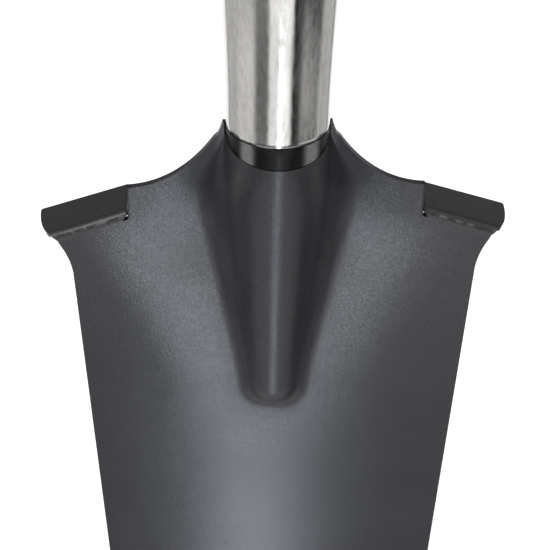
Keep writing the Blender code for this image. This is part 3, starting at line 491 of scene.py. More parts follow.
def smooth_curve(values, depth):
    """A smooth curve through the values at SECTION_DEPTHS, turned from millimetres to metres."""
    depths = SECTION_DEPTHS
    at = min(max(depth / MM, depths[0]), depths[-1])
    i = max(j for j in range(len(depths) - 1) if depths[j] <= at)
    slopes = [(values[j + 1] - values[j]) / (depths[j + 1] - depths[j])
              for j in range(len(depths) - 1)]
    start = 0.5 * (slopes[max(i - 1, 0)] + slopes[i])
    end = 0.5 * (slopes[i] + slopes[min(i + 1, len(slopes) - 1)])
    span = depths[i + 1] - depths[i]
    t = (at - depths[i]) / span
    return MM * (values[i] * (1 + 2 * t) * (1 - t) ** 2 + values[i + 1] * (3 - 2 * t) * t * t
                 + span * t * (1 - t) * (start * (1 - t) - end * t))


def valley_y(x, depth):
    """How far the sheet lies behind its flat rim beside the bulge."""
    half_width = smooth_curve(VALLEY_HALF_WIDTHS, depth)
    if abs(x) >= half_width:
        return 0.0
    fade = 1.0 - smoothstep((depth - SECTION_END) / VALLEY_FADE_LENGTH)
    deep = smooth_curve(VALLEY_HEIGHTS, depth) * fade
    return deep * (1.0 - (x / half_width) ** 2) ** 2


def bulge_section(depth):
    """Crown radius, slope where the crown ends, flank and foot half widths of the bulge."""
    height = smooth_curve(BULGE_HEIGHTS, depth) + valley_y(0.0, depth)
    flank = smooth_curve(BULGE_FLANKS, depth)
    foot = smooth_curve(BULGE_FEET, depth)
    low, high = 0.0, math.radians(88.0)
    for _ in range(30):
        angle = 0.5 * (low + high)
        reach = flank * math.tan(0.5 * angle) + math.tan(angle) * (foot - flank) / BULGE_SOFTNESS
        low, high = (angle, high) if reach < height else (low, angle)
    return flank / math.sin(angle), math.tan(angle), flank, foot


def bulge_height(x, depth):
    """Height of the bulge above the sheet: a round crown running into a hollow skirt."""
    crown, slope, flank, foot = bulge_section(depth)
    toe = max(depth - SECTION_END, 0.0) / BULGE_TOE_LENGTH
    out = math.hypot(x, foot * toe)
    if out >= foot:
        return 0.0
    skirt = slope * (foot - flank) / BULGE_SOFTNESS
    if out > flank:
        return skirt * ((foot - out) / (foot - flank)) ** BULGE_SOFTNESS
    return skirt + math.sqrt(crown ** 2 - out ** 2) - math.sqrt(crown ** 2 - flank ** 2)


def blade_front_y(x, depth):
    return valley_y(x, depth) - bulge_height(x, depth)


def blade_back_y(x, depth):
    """The plate's rear face, with its thickness measured square to the sheet."""
    step = 0.2 * MM
    slope = (blade_front_y(x + step, depth) - blade_front_y(x - step, depth)) / (2.0 * step)
    return blade_front_y(x, depth) + BLADE_THICKNESS * math.sqrt(1.0 + slope * slope)


def past_bulge_foot(place):
    """How far outside the foot of the bulge a place on the blade lies, negative inside it."""
    depth = max(NECK_Z - place.z, 0.0)
    foot = smooth_curve(BULGE_FEET, depth)
    toe = max(depth - SECTION_END, 0.0) / BULGE_TOE_LENGTH
    return math.hypot(place.x, foot * toe) - foot


def bulge_columns(depth, half_width, inner_columns, outer_columns):
    """Places across the sheet from its middle to its edge, close together on the bends. Where
    the tip is narrow, half of it is left outside the foot, so that no column turns back."""
    crown, _, flank, foot = bulge_section(depth)
    foot = min(foot, max(half_width - EAR_ROOT_WIDTH, 0.5 * half_width))
    flank = min(flank, 0.97 * foot)
    angle = math.asin(flank / crown)
    places = [crown * math.sin(angle * i / inner_columns) for i in range(inner_columns + 1)]
    places += [mix(flank, foot, (i / inner_columns) ** 1.4) for i in range(1, inner_columns + 1)]
    places += [mix(foot, half_width, i / outer_columns) for i in range(1, outer_columns + 1)]
    return places


def tread_fold_depth(x):
    return TREAD_INNER_DEPTH + TREAD_SLOPE * (abs(x) - TREAD_INNER_X)


def blade_rows(per_curve):
    """(half width, depth) of each cross row from tip to neck, and which rows hold the folds."""
    flare_rows, side_rows = 12, 3 * per_curve
    tip, flare, shoulder = ([bezier(curve, 1.0 - i / count) for i in range(count)]
                            for curve, count in ((TIP_CURVE, per_curve), (FLARE_CURVE, flare_rows),
                                                 (SHOULDER_CURVE, per_curve)))
    rows = [(x, -z) for x, z in tip]
    low, high = bezier(TIP_CURVE, 0.0), flare[0]
    rows += [(mix(low[0], high[0], i / side_rows), -mix(low[1], high[1], i / side_rows))
             for i in range(side_rows)]
    rows += [(x, -z) for x, z in flare]
    fold = []
    for i in range(per_curve + 1):
        x = mix(TREAD_FOLD_OUTER_X, TREAD_INNER_X + NOTCH_RADIUS, i / per_curve)
        fold.append((x, tread_fold_depth(x) + TREAD_BEND_RADIUS))
    first_fold_row = len(rows)
    rows += fold
    notch_x = SHOULDER_CURVE[-1][0] * MM
    notch_width, notch_depth = fold[-1][0] - notch_x, fold[-1][1]
    for angle in range(10, 91, 10):
        rows.append((notch_x + notch_width * (1.0 - math.sin(math.radians(angle))),
                     notch_depth - NOTCH_RADIUS * (1.0 - math.cos(math.radians(angle)))))
    rows += [(x, -z) for x, z in shoulder if -z > COLLAR_SIDE_DEPTH + 0.8 * MM]
    rows.append((EAR_BASE_X, COLLAR_SIDE_DEPTH + SEAM))
    return rows, first_fold_row, len(fold)


def tread_inner_x(back):
    if back >= NOTCH_RADIUS:
        return TREAD_INNER_X
    reach = math.sqrt(NOTCH_RADIUS ** 2 - (NOTCH_RADIUS - back) ** 2)
    return TREAD_INNER_X + NOTCH_RADIUS - reach


def tread_outer_x(back):
    """The outer end sweeps out from the fold and stops at a nearly sharp rear corner."""
    left = 1.0 - min(max(back, 0.0) / TREAD_END_LENGTH, 1.0)
    edge = mix(TREAD_FOLD_OUTER_X, TREAD_OUTER_X, math.sqrt(1.0 - left * left))
    rear = back - (TREAD_REAR_Y - TREAD_REAR_CORNER_RADIUS)
    if rear > 0.0:
        reach = TREAD_REAR_CORNER_RADIUS ** 2 - min(rear, TREAD_REAR_CORNER_RADIUS) ** 2
        edge += math.sqrt(reach) - TREAD_REAR_CORNER_RADIUS
    return edge


def add_tread(bm, wear_and_highlight, fold_vertices, side):
    """Fold the sheet rearwards along the row of fold vertices, outer end first."""
    last = len(fold_vertices) - 1
    rows = [fold_vertices]
    places = []
    for angle in range(9, 91, 9):
        turn = math.radians(angle)
        # Lighter colour round the bend: a painted highlight, with some wear
        fold_highlight = TREAD_WEAR_AND_HIGHLIGHT * math.exp(-((angle - TREAD_HIGHLIGHT_ANGLE) / TREAD_HIGHLIGHT_SPREAD) ** 2)
        places.append((TREAD_BEND_RADIUS * (1.0 - math.cos(turn)),
                       TREAD_BEND_RADIUS * (1.0 - math.sin(turn)), fold_highlight))
    flat_rows = 26
    for i in range(1, flat_rows + 1):
        along = math.sin(0.5 * math.pi * i / flat_rows)
        places.append((mix(TREAD_BEND_RADIUS, TREAD_REAR_Y, along), 0.0, 0.0))
    for back, drop, fold_highlight in places:
        outer = tread_outer_x(back)
        row = []
        for i in range(last + 1):
            x = mix(outer, tread_inner_x(back), i / last)
            sunk = fold_vertices[i].co.y * (1.0 - back / TREAD_REAR_Y)
            vertex = bm.verts.new((side * x, back + sunk, NECK_Z - tread_fold_depth(x) - drop))
            vertex[wear_and_highlight] = fold_highlight
            row.append(vertex)
        rows.append(row)
    skin(bm, rows)


def blade_front(per_curve, inner_columns, outer_columns):
    """The front surface of the blade as one open sheet, and its layer of wear and painted
    highlight.
    """
    bm = bmesh.new()
    wear_and_highlight = bm.verts.layers.float.new("wear_and_highlight")
    rows, first_fold_row, fold_count = blade_rows(per_curve)
    grid = []
    for half_width, depth in rows:
        places = bulge_columns(depth, half_width, inner_columns, outer_columns)
        near_rim = 1.0 - smoothstep((depth - COLLAR_SIDE_DEPTH) / RIM_BLEND_LENGTH)
        line = []
        for x in [-x for x in reversed(places[1:])] + places:
            z = NECK_Z - depth - COLLAR_SLANT * bulge_height(x, depth) * near_rim
            line.append(bm.verts.new((x, blade_front_y(x, depth), z)))
        grid.append(line)
    skin(bm, grid)
    fold_rows = grid[first_fold_row:first_fold_row + fold_count]
    add_tread(bm, wear_and_highlight, [line[-1] for line in fold_rows], 1)
    add_tread(bm, wear_and_highlight, [line[0] for line in fold_rows], -1)

    rim = grid[-1]
    ear_x, ear_z = (value * MM for value in SHOULDER_CURVE[0])
    for corner, base in ((1, rim[-outer_columns - 1:]), (-1, rim[outer_columns::-1])):
        rows = [base]
        ear_rows = 5
        for j in range(1, ear_rows + 1):
            row = []
            for i, foot in enumerate(base):
                tip = Vector((corner * (ear_x + EAR_TIP_WIDTH * i / outer_columns), foot.co.y,
                              NECK_Z + ear_z))
                row.append(bm.verts.new(foot.co.lerp(tip, j / ear_rows)))
            rows.append(row)
        skin(bm, rows)
    bmesh.ops.remove_doubles(bm, verts=bm.verts, dist=0.01 * MM)
    return bm, wear_and_highlight


def thicken(bm, thickness_at, away):
    """Give an open sheet its thickness. Its normals should roughly have the direction away."""
    bmesh.ops.recalc_face_normals(bm, faces=bm.faces)
    bm.normal_update()
    if sum(f.normal.dot(away) * f.calc_area() for f in bm.faces) < 0.0:
        bmesh.ops.reverse_faces(bm, faces=bm.faces)
        bm.normal_update()
    front_faces = list(bm.faces)
    border = [e for e in bm.edges if e.is_boundary]
    back = {}
    for vertex in list(bm.verts):
        back[vertex] = bm.verts.new(vertex.co - vertex.normal * thickness_at(vertex.co))
        for layer in bm.verts.layers.float.values():
            back[vertex][layer] = vertex[layer]
    for face in front_faces:
        bm.faces.new([back[v] for v in reversed(face.verts)])
    for edge in border:
        loop = edge.link_loops[0]
        a, b = loop.vert, loop.link_loop_next.vert
        bm.faces.new((b, a, back[a], back[b]))


def pressed_sheet(name, bm, thickness_at, away, material):
    """Finish an open sheet: its thickness, and round edges where they stay sharp."""
    thicken(bm, thickness_at, Vector(away))
    sheet = make_object(name, bm, material, SHEET_SHARP_DEGREES)
    bevel = sheet.modifiers.new("rounded_edges", "BEVEL")
    bevel.width, bevel.segments = SHEET_EDGE_ROUNDING, 2
    bevel.limit_method, bevel.angle_limit = "ANGLE", math.radians(SHEET_SHARP_DEGREES)
    bevel.use_clamp_overlap = True
    return sheet


def make_blade(material):
    bm, wear_and_highlight = blade_front(per_curve=26, inner_columns=22, outer_columns=26)
    painted_shade = bm.verts.layers.float.new("painted_shade")
    drawn = bm.verts.layers.float.new("drawn")
    for vertex in bm.verts:
        across, z = abs(vertex.co.x), vertex.co.z
        # Painted shade beside the neck: the coat's gloss is taken away there
        beside = smoothstep((across - NECK_SHADE_START_X) / NECK_SHADE_INNER_FADE)
        near = 1.0 - smoothstep((across - NECK_SHADE_HALF_WIDTH) / NECK_SHADE_FADE)
        vertex[painted_shade] = NECK_SHADE * beside * near * smoothstep((z - NECK_SHADE_START_Z) / NECK_SHADE_FADE)
        vertex[drawn] = 1.0 - smoothstep(past_bulge_foot(vertex.co) / DRAWN_FADE + 0.5)
        if vertex.is_boundary:
            low = smoothstep((EDGE_WEAR_TOP_Z - z) / EDGE_WEAR_FADE)
            vertex[wear_and_highlight] = max(vertex[wear_and_highlight], EDGE_WEAR * low)
            # Painted shade at the inner ends of the notches, where the gap lies in shade
            if abs(across - TREAD_INNER_X) < NOTCH_END_REACH and NECK_Z - z < NOTCH_END_DEPTH:
                vertex[painted_shade] = 1.0
    edge_line = [bezier(TIP_CURVE, i / 60) for i in range(61)]

    def thickness_at(place):
        if place.z > CUTTING_EDGE_TOP_Z:
            return BLADE_THICKNESS
        away = min(math.hypot(abs(place.x) - x, place.z - NECK_Z - z) for x, z in edge_line)
        return mix(CUTTING_EDGE_THICKNESS, BLADE_THICKNESS, smoothstep(away / CUTTING_EDGE_WIDTH))

    blade = pressed_sheet("blade_sheet", bm, thickness_at, (0.0, -1.0, 0.0), material)
    return stands_for(blade, "blade")


# ---- Rear socket, welds and collar ----

def rear_section(across, round_share):
    """Height of the rear half, 0 to 1: half a circle at the neck, bell-shaped further down."""
    across = min(abs(across), 1.0)
    half_circle = math.sqrt(1.0 - across * across)
    bell = 0.5 * (1.0 + math.cos(math.pi * across ** SOCKET_BACK_POWER))
    return mix(half_circle, bell, round_share)


def socket_back_half_width(depth):
    share = min(depth / SOCKET_BACK_END_DEPTH, 1.0)
    return mix(SOCKET_BACK_HALF_WIDTH, SOCKET_BACK_END_HALF_WIDTH, share)


def socket_back_y(x, depth):
    """Outer face of the rear half: its flanges follow the blade, its middle stands out."""
    half_width = socket_back_half_width(depth)
    settle = smoothstep((depth - SOCKET_SETTLE_START) / SOCKET_SETTLE_LENGTH)
    seam = max(abs(x), half_width)
    base = mix(BLADE_THICKNESS, blade_back_y(seam, depth), settle)
    across = x / half_width
    if depth > SOCKET_BACK_END_DEPTH:
        across = math.hypot(across, (depth - SOCKET_BACK_END_DEPTH) / SOCKET_BACK_END_LENGTH)
    face = base + mix(SEAM, SOCKET_BACK_CLEARANCE, settle) + SOCKET_BACK_THICKNESS
    share = min(depth / SOCKET_BACK_END_DEPTH, 1.0)
    crown = mix(COLLAR_OUTER_RADIUS, SOCKET_BACK_END_CROWN_Y, share)
    section = rear_section(across, smoothstep(depth / SOCKET_BACK_ROUND_DEPTH))
    return face + (crown - face) * section


def flange_half_width(depth):
    reach = SOCKET_BACK_END_LENGTH + SOCKET_FLANGE
    flange = SOCKET_FLANGE * smoothstep((depth - SOCKET_FLANGE_START) / SOCKET_FLANGE_LENGTH)
    width = socket_back_half_width(depth) + flange + SEAM
    if depth > SOCKET_BACK_END_DEPTH:
        width *= math.sqrt(max(1.0 - ((depth - SOCKET_BACK_END_DEPTH) / reach) ** 2, 0.0))
    return width


def make_socket_back(material):
    bm = bmesh.new()
    rim = COLLAR_SIDE_DEPTH + 2 * SEAM + COLLAR_SLANT * SOCKET_BACK_THICKNESS
    end = SOCKET_BACK_END_DEPTH + (SOCKET_BACK_END_LENGTH + SOCKET_FLANGE) * 0.985
    columns, row_count = 36, 64
    grid = []
    for i in range(row_count + 1):
        depth = mix(rim, end, math.sin(0.5 * math.pi * i / row_count))
        half_width = flange_half_width(depth)
        near_rim = 1.0 - smoothstep((depth - COLLAR_SIDE_DEPTH) / RIM_BLEND_LENGTH)
        line = []
        for j in range(-columns, columns + 1):
            x = half_width * math.sin(0.5 * math.pi * j / columns)
            y = socket_back_y(x, depth)
            line.append(bm.verts.new((x, y, NECK_Z - depth + COLLAR_SLANT * y * near_rim)))
        grid.append(line)
    skin(bm, grid)
    part = pressed_sheet("socket_back_shell", bm, lambda place: SOCKET_BACK_THICKNESS,
                         (0.0, 1.0, 0.0), material)
    return stands_for(part, "socket_back")


def make_weld(name, node, side, material):
    """A rippled fillet weld along one edge of the rear socket's flange."""
    bm = bmesh.new()
    steps, sides = 160, 14
    stand_off = SEAM + WELD_RADIUS * 1.12
    rings = []
    for i in range(steps + 1):
        share = i / steps
        depth = mix(WELD_START_DEPTH, SOCKET_BACK_END_DEPTH, share)
        ripple = 0.93 + 0.06 * abs(math.sin(math.pi * share * 27.0)) + 0.02 * math.sin(share * 61.0)
        ends = math.sqrt(max(1.0 - abs(2.0 * share - 1.0) ** 30, 0.03))
        x = flange_half_width(depth) + stand_off
        centre = (side * x, blade_back_y(x, depth) + stand_off, NECK_Z - depth)
        rings.append(ring(bm, WELD_RADIUS * ripple * ends, centre, "Z", sides))
    skin(bm, rings, True)
    bm.faces.new(rings[0])
    bm.faces.new(rings[-1])
    return stands_for(make_object(name, bm, material, 60.0), node)


def make_collar(material):
    bm = bmesh.new()
    segments = 144
    top = NECK_Z - 0.1 * MM
    fillet = 0.35 * MM
    rings = [ring(bm, COLLAR_OUTER_RADIUS - fillet * inward, (0, 0, top - fillet * down), "Z",
                  segments) for down, inward in quarter_turn(3)]
    # Share of the way from the rounded top to the slanted lower edge, and lift above that edge
    chamfer = 0.15 * MM
    for radius, share, lift in ((COLLAR_OUTER_RADIUS, 0.35, 0.0), (COLLAR_OUTER_RADIUS, 0.7, 0.0),
                                (COLLAR_OUTER_RADIUS, 1.0, chamfer),
                                (COLLAR_OUTER_RADIUS - chamfer, 1.0, 0.0),
                                (COLLAR_INNER_RADIUS, 1.0, 0.0)):
        rings.append(ring(bm, radius, (0, 0, NECK_Z), "Z", segments))
        for vertex in rings[-1]:
            low = COLLAR_SIDE_DEPTH - COLLAR_SLANT * vertex.co.y
            vertex.co.z = NECK_Z - mix(fillet, low, share) + lift
    rings.append(ring(bm, COLLAR_INNER_RADIUS, (0, 0, top), "Z", segments))
    skin(bm, rings, True, True)
    # Painted reflections: grey patches on the outside, at the angles given above
    painted_reflection = bm.verts.layers.float.new("painted_reflection")
    for vertex in bm.verts:
        x, y = vertex.co.xy
        angle = math.degrees(math.atan2(x, -y))
        outside = smoothstep((math.hypot(x, y) - COLLAR_OUTER_RADIUS) / (0.3 * MM) + 1.0)
        vertex[painted_reflection] = outside * sum(math.exp(-((angle - centre) / width) ** 4)
                                       for centre, width in COLLAR_PAINTED_REFLECTIONS)
    return stands_for(make_object("collar_band", bm, material, 50.0), "collar_ring")


# ---- Shaft ----

def make_shaft(material):
    """A tube swaged down towards the neck, with its outer edges eased."""
    swage_rows, tube_rows = 48, 12
    lip = 0.45 * MM
    outer = [(SHAFT_NECK_RADIUS - lip * inward, lip * up) for up, inward in quarter_turn(3)]
    heights = [SWAGE_LENGTH * i / swage_rows for i in range(1, swage_rows + 1)]
    heights += [mix(SWAGE_LENGTH, SHAFT_LENGTH - lip, i / tube_rows)
                for i in range(1, tube_rows + 1)]
    outer += [(mix(SHAFT_NECK_RADIUS, SHAFT_RADIUS, smoothstep(height / SWAGE_LENGTH)), height)
              for height in heights]
    outer.append((SHAFT_RADIUS - lip, SHAFT_LENGTH))
    inner = [(radius - SHAFT_WALL, height) for radius, height in reversed(outer[4:-1])]
    inner.insert(0, (SHAFT_RADIUS - SHAFT_WALL, SHAFT_LENGTH))
    inner.append((SHAFT_NECK_RADIUS - SHAFT_WALL, 0.0))
    shaft = make_object("shaft_polished", turned(outer + inner, "Z", (0, 0, NECK_Z), 160, True),
                        material, 50.0)
    return stands_for(shaft, "shaft_tube")


# ---- Handle ----

def hull_outline(bottom, top, grow, steps):
    """Outline round circles at the bottom and top, mirrored across X = 0, as (x, z) points."""
    bottom_x, bottom_z, bottom_radius = bottom
    top_x, top_z, top_radius = top
    bottom_radius += grow
    top_radius += grow
    length = math.hypot(top_x - bottom_x, top_z - bottom_z)
    lean = math.atan2(top_z - bottom_z, top_x - bottom_x)
    tangent = lean - math.acos((bottom_radius - top_radius) / length)

    def arc(x, z, radius, start, end):
        angles = [mix(start, end, i / steps) for i in range(steps + 1)]
        return [(x + radius * math.cos(angle), z + radius * math.sin(angle)) for angle in angles]

    points = arc(bottom_x, bottom_z, bottom_radius, -0.5 * math.pi, tangent)
    points += arc(top_x, top_z, top_radius, tangent, 0.5 * math.pi)
    mirrored = [(-x, z) for x, z in reversed(points) if x > 0.01 * MM]
    return points + mirrored


def prism(outline, low_y, high_y):
    bm = bmesh.new()
    front = [bm.verts.new((x, low_y, z)) for x, z in outline]
    back = [bm.verts.new((x, high_y, z)) for x, z in outline]
    bm.faces.new(front)
    bm.faces.new(back)
    skin(bm, [front, back], True)
    return bm


def box(x, z, half_x, half_z, low_y, high_y):
    corners = ((-1, -1), (1, -1), (1, 1), (-1, 1))
    return prism([(x + i * half_x, z + j * half_z) for i, j in corners], low_y, high_y)


def band_prism(inner, outer, low_y, high_y):
    """A closed band between two outlines of equal length."""
    bm = bmesh.new()
    loops = [[bm.verts.new((x, y, z)) for x, z in outline]
             for outline, y in ((inner, low_y), (outer, low_y), (outer, high_y), (inner, high_y))]
    skin(bm, loops, True, True)
    return bm


def frame_body():
    bm = prism(hull_outline(FRAME_BOTTOM, FRAME_TOP, 0.0, 22), -FRAME_HALF_DEPTH, FRAME_HALF_DEPTH)
    edges = [e for e in bm.edges if abs(e.verts[0].co.y - e.verts[1].co.y) < 0.1 * MM]
    bmesh.ops.bevel(bm, geom=edges, offset=FRAME_BEVEL, segments=7, profile=0.5, affect="EDGES")
    return bm


def cup_body():
    """The round cup over the shaft, with a rolled lip and a domed shoulder."""
    lip, shoulder = 2 * MM, 14 * MM
    height = SOCKET_CUP_TOP_Z - SOCKET_CUP_BOTTOM_Z
    profile = [(SOCKET_CUP_RADIUS - lip * inward, lip * up) for up, inward in quarter_turn(6)]
    profile.append((SOCKET_CUP_RADIUS, 0.5 * (height - shoulder)))
    profile += [(SOCKET_CUP_RADIUS - 12 * MM * inward, height + shoulder * (0.5 - 1.5 * down))
                for inward, down in quarter_turn(12)]
    return turned(profile, "Z", (0, 0, SOCKET_CUP_BOTTOM_Z), 96)


def make_shell(name, node, front, material):
    """One half of the handle, split along Y = 0, with a moulded groove round the hand opening."""
    side = -1.0 if front else 1.0
    # The other half's side of the split, cut away
    low_y, high_y = (-SEAM / 2, 60 * MM) if front else (-60 * MM, SEAM / 2)
    steps = 18
    groove = [hull_outline(OPENING_BOTTOM, OPENING_TOP, grow, steps)
              for grow in (GROOVE_OFFSET, GROOVE_OFFSET + GROOVE_WIDTH)]
    tube_top, through = NECK_Z + SHAFT_LENGTH, side * THROUGH
    grip_end, bar_end = GRIP_HALF_LENGTH + 1 * MM, GRIP_BAR_HALF_LENGTH + SEAM
    bolt = (0, 0, BOLT_Z)
    cuts = [
        box(0.0, 0.675, 90 * MM, 175 * MM, low_y, high_y),
        prism(hull_outline(OPENING_BOTTOM, OPENING_TOP, 0.0, steps), -THROUGH, THROUGH),
        band_prism(*groove, side * (FRAME_HALF_DEPTH - GROOVE_DEPTH), through),
        rod(GRIP_RADIUS + 21 * MM, -grip_end, grip_end, "X", (0, 0, GRIP_CENTRE_Z + 16 * MM), 64),
        rod(GRIP_BAR_RADIUS + SEAM, -bar_end, bar_end, "X", (0, 0, GRIP_CENTRE_Z), 48, HOLE_TURN),
        rod(SHAFT_RADIUS + SEAM, SOCKET_CUP_BOTTOM_Z - 10 * MM - tube_top, 3.4 * MM, "Z",
            (0, 0, tube_top), 96),
        rod(BOLT_RADIUS + 0.4 * MM, 0.0, through, "Y", bolt, 40, HOLE_TURN),
        rod(BOLT_SEAT_RADIUS, side * BOLT_SEAT_Y, through, "Y", bolt, 56, HOLE_TURN),
    ]
    if not front:
        head_seat = FRAME_HALF_DEPTH - SCREW_HEAD_HEIGHT - SEAM
        cuts += [rod(SCREW_HEAD_RADIUS + SEAM, head_seat, THROUGH, "Y", (x, 0, z), 40)
                 for x, z in SCREW_PLACES]
    shell = carve(make_object(name, frame_body(), material), cuts, [cup_body()])
    return stands_for(shell, node)


def make_grip(material):
    """The soft sleeve: fuller in the middle, ribbed all the way round, with plain ends."""
    half = GRIP_HALF_LENGTH - SEAM
    plain = 7 * MM
    edge = 1.4 * MM
    outer = []
    count = 260
    for i in range(count + 1):
        along = mix(-half, half, i / count)
        from_end = half - abs(along)
        radius = GRIP_RADIUS - 2 * MM * (1.0 - math.cos(0.4 * math.pi * along / half))
        ribbed = smoothstep((from_end - plain) / (2 * MM))
        wave = 0.5 + 0.5 * math.cos(2.0 * math.pi * along / RIB_PITCH)
        radius -= RIB_DEPTH * ribbed * (1.0 - wave ** 0.6)
        if from_end < edge:
            radius -= edge - math.sqrt(max(edge ** 2 - (edge - from_end) ** 2, 0.0))
        outer.append((radius, along))
    inner = GRIP_BAR_RADIUS + SEAM
    profile = outer + [(inner, half), (inner, -half)]
    sleeve = make_object("grip_ribbed", turned(profile, "X", (0, 0, GRIP_CENTRE_Z), 72, True),
                         material, 50.0)
    return stands_for(sleeve, "grip_sleeve")


def make_screw(number, material):
    """A flush screw with a rounded head rim and a cross recess."""
    x, z = SCREW_PLACES[number - 1]
    head_top = FRAME_HALF_DEPTH
    seat = head_top - SCREW_HEAD_HEIGHT
    profile = [(SCREW_SHANK_RADIUS * 0.4, -9 * MM), (SCREW_SHANK_RADIUS, -7.5 * MM)]
    profile += [(SCREW_SHANK_RADIUS, seat), (SCREW_HEAD_RADIUS, seat)]
    rim, arm, half_slot, recess = 0.9 * MM, 2.2 * MM, 0.45 * MM, 1.3 * MM
    profile += [(SCREW_HEAD_RADIUS - rim * inward, head_top - rim * down)
                for inward, down in quarter_turn(6)]
    arms = [box(x, z, half_x, half_z, head_top - recess, THROUGH)
            for half_x, half_z in ((arm, half_slot), (half_slot, arm))]
    screw = make_object(f"screw_{number}", turned(profile, "Y", (x, 0, z), 40), material)
    return stands_for(carve(screw, arms), f"shell_screw_{number}")


def make_bolt(material):
    """Button-headed bolt with a hexagonal key socket and a threaded rear end."""
    head_seat = BOLT_SEAT_Y + WASHER_THICKNESS + 2 * SEAM
    profile = []
    for i in range(9):
        # A dome cut off flat at 0.28 of a quarter turn, where the cosine is 0.905
        angle = 0.5 * math.pi * (0.28 + 0.72 * i / 8)
        rise = BOLT_HEAD_HEIGHT * math.cos(angle) / 0.905
        profile.append((BOLT_HEAD_RADIUS * math.sin(angle), -head_seat - rise))
    profile += [(BOLT_HEAD_RADIUS - 0.2 * MM, -head_seat), (BOLT_RADIUS, -head_seat)]
    end, chamfer = head_seat + 6.2 * MM, 0.6 * MM
    thread_start, pitch, thread_depth = BOLT_SEAT_Y - 3 * MM, 0.9 * MM, 0.35 * MM
    for i in range(int((end - chamfer - thread_start) / pitch)):
        start = thread_start + i * pitch
        profile += [(BOLT_RADIUS, start + 0.1 * pitch),
                    (BOLT_RADIUS - thread_depth, start + 0.55 * pitch),
                    (BOLT_RADIUS, start + 0.9 * pitch)]
    profile += [(BOLT_RADIUS, end - chamfer), (BOLT_RADIUS - chamfer, end)]
    key = rod(2.3 * MM, -THROUGH, -head_seat - 1.2 * MM, "Y", (0, 0, BOLT_Z), 6)
    bolt = make_object("bolt_button", turned(profile, "Y", (0, 0, BOLT_Z), 48), material)
    return stands_for(carve(bolt, [key]), "handle_bolt")


def make_washer(name, node, side, material):
    inner, outer = BOLT_RADIUS + SEAM, WASHER_RADIUS
    low = BOLT_SEAT_Y + SEAM
    high = low + WASHER_THICKNESS
    edge = 0.25 * MM
    profile = ((inner, low), (outer - edge, low), (outer, low + edge), (outer, high - edge),
               (outer - edge, high), (inner + edge, high), (inner, high - edge))
    washer = turned([(radius, side * y) for radius, y in profile], "Y", (0, 0, BOLT_Z), 56, True)
    return stands_for(make_object(name, washer, material), node)


def make_nut(material):
    """Hexagon nut whose corners are turned down at both ends."""
    low = BOLT_SEAT_Y + WASHER_THICKNESS + 2 * SEAM
    high = low + NUT_HEIGHT
    flat = NUT_CORNER_RADIUS * math.cos(math.pi / 6)
    inner, chamfer = BOLT_RADIUS + SEAM, 0.4 * MM
    count = 72
    rounding = 0.9 * MM
    shares = (0.0, 0.25, 0.5, 1.0)
    profile = [(inner, low)]
    for shares_from_end, end, inward in ((shares, low, 1.0), (shares[::-1], high, -1.0)):
        profile += [(flat - 0.1 * MM + share * rounding, end + inward * share ** 2 * rounding)
                    for share in shares_from_end]
    profile += [(inner + chamfer, high), (inner, high - chamfer)]
    bm = bmesh.new()
    rings = [ring(bm, radius, (0, y, BOLT_Z), "Y", count) for radius, y in profile]
    for outline in rings[1:9]:
        for i, vertex in enumerate(outline):
            angle = 2.0 * math.pi * i / count
            off_flat = (angle + math.pi / 6) % (math.pi / 3) - math.pi / 6
            reach = math.hypot(vertex.co.x, vertex.co.z - BOLT_Z)
            radius = min(reach, flat / math.cos(abs(off_flat)))
            vertex.co.x = radius * math.sin(angle)
            vertex.co.z = BOLT_Z + radius * math.cos(angle)
    skin(bm, rings, True, True)
    return stands_for(make_object("nut_hexagon", bm, material, 25.0), "handle_nut")


# ---- Light, floor and camera ----

class Sky(Nodes):
    """World nodes that read the direction of a ray, so the studio stays fixed to the shovel.
    Azimuth is 0 towards the front of the blade and 90 towards +X; elevation is 90 at the zenith."""

    def __init__(self):
        world = bpy.data.worlds.new("studio")
        bpy.context.scene.world = world
        world.use_nodes = True
        super().__init__(world.node_tree)
        ray = self.made("ShaderNodeTexCoord", "Generated")
        x, y, z = (self.made("ShaderNodeSeparateXYZ", axis, {"Vector": ray}) for axis in "XYZ")
        self.azimuth = self.degrees("ARCTAN2", x, self.math("MULTIPLY", y, -1.0))
        self.elevation = self.degrees("ARCSINE", z, 0.0)

    def degrees(self, operation, first, second):
        return self.math("MULTIPLY", self.math(operation, first, second), 180.0 / math.pi)

    def window(self, source, low, high, soft):
        """1 between low and high, falling to 0 over the soft distance outside them."""
        rise = self.span(source, low - soft, low + soft)
        fall = self.span(source, high - soft, high + soft, 1.0, 0.0)
        return self.math("MULTIPLY", rise, fall)

    def add(self, *sources):
        total = sources[0]
        for source in sources[1:]:
            total = self.math("ADD", total, source)
        return total

    def bands(self, *bands):
        """Upright bands, each given as (low, high, soft, strength) in azimuth."""
        return self.add(*(self.math("MULTIPLY", self.window(self.azimuth, *edges), strength)
                          for *edges, strength in bands))


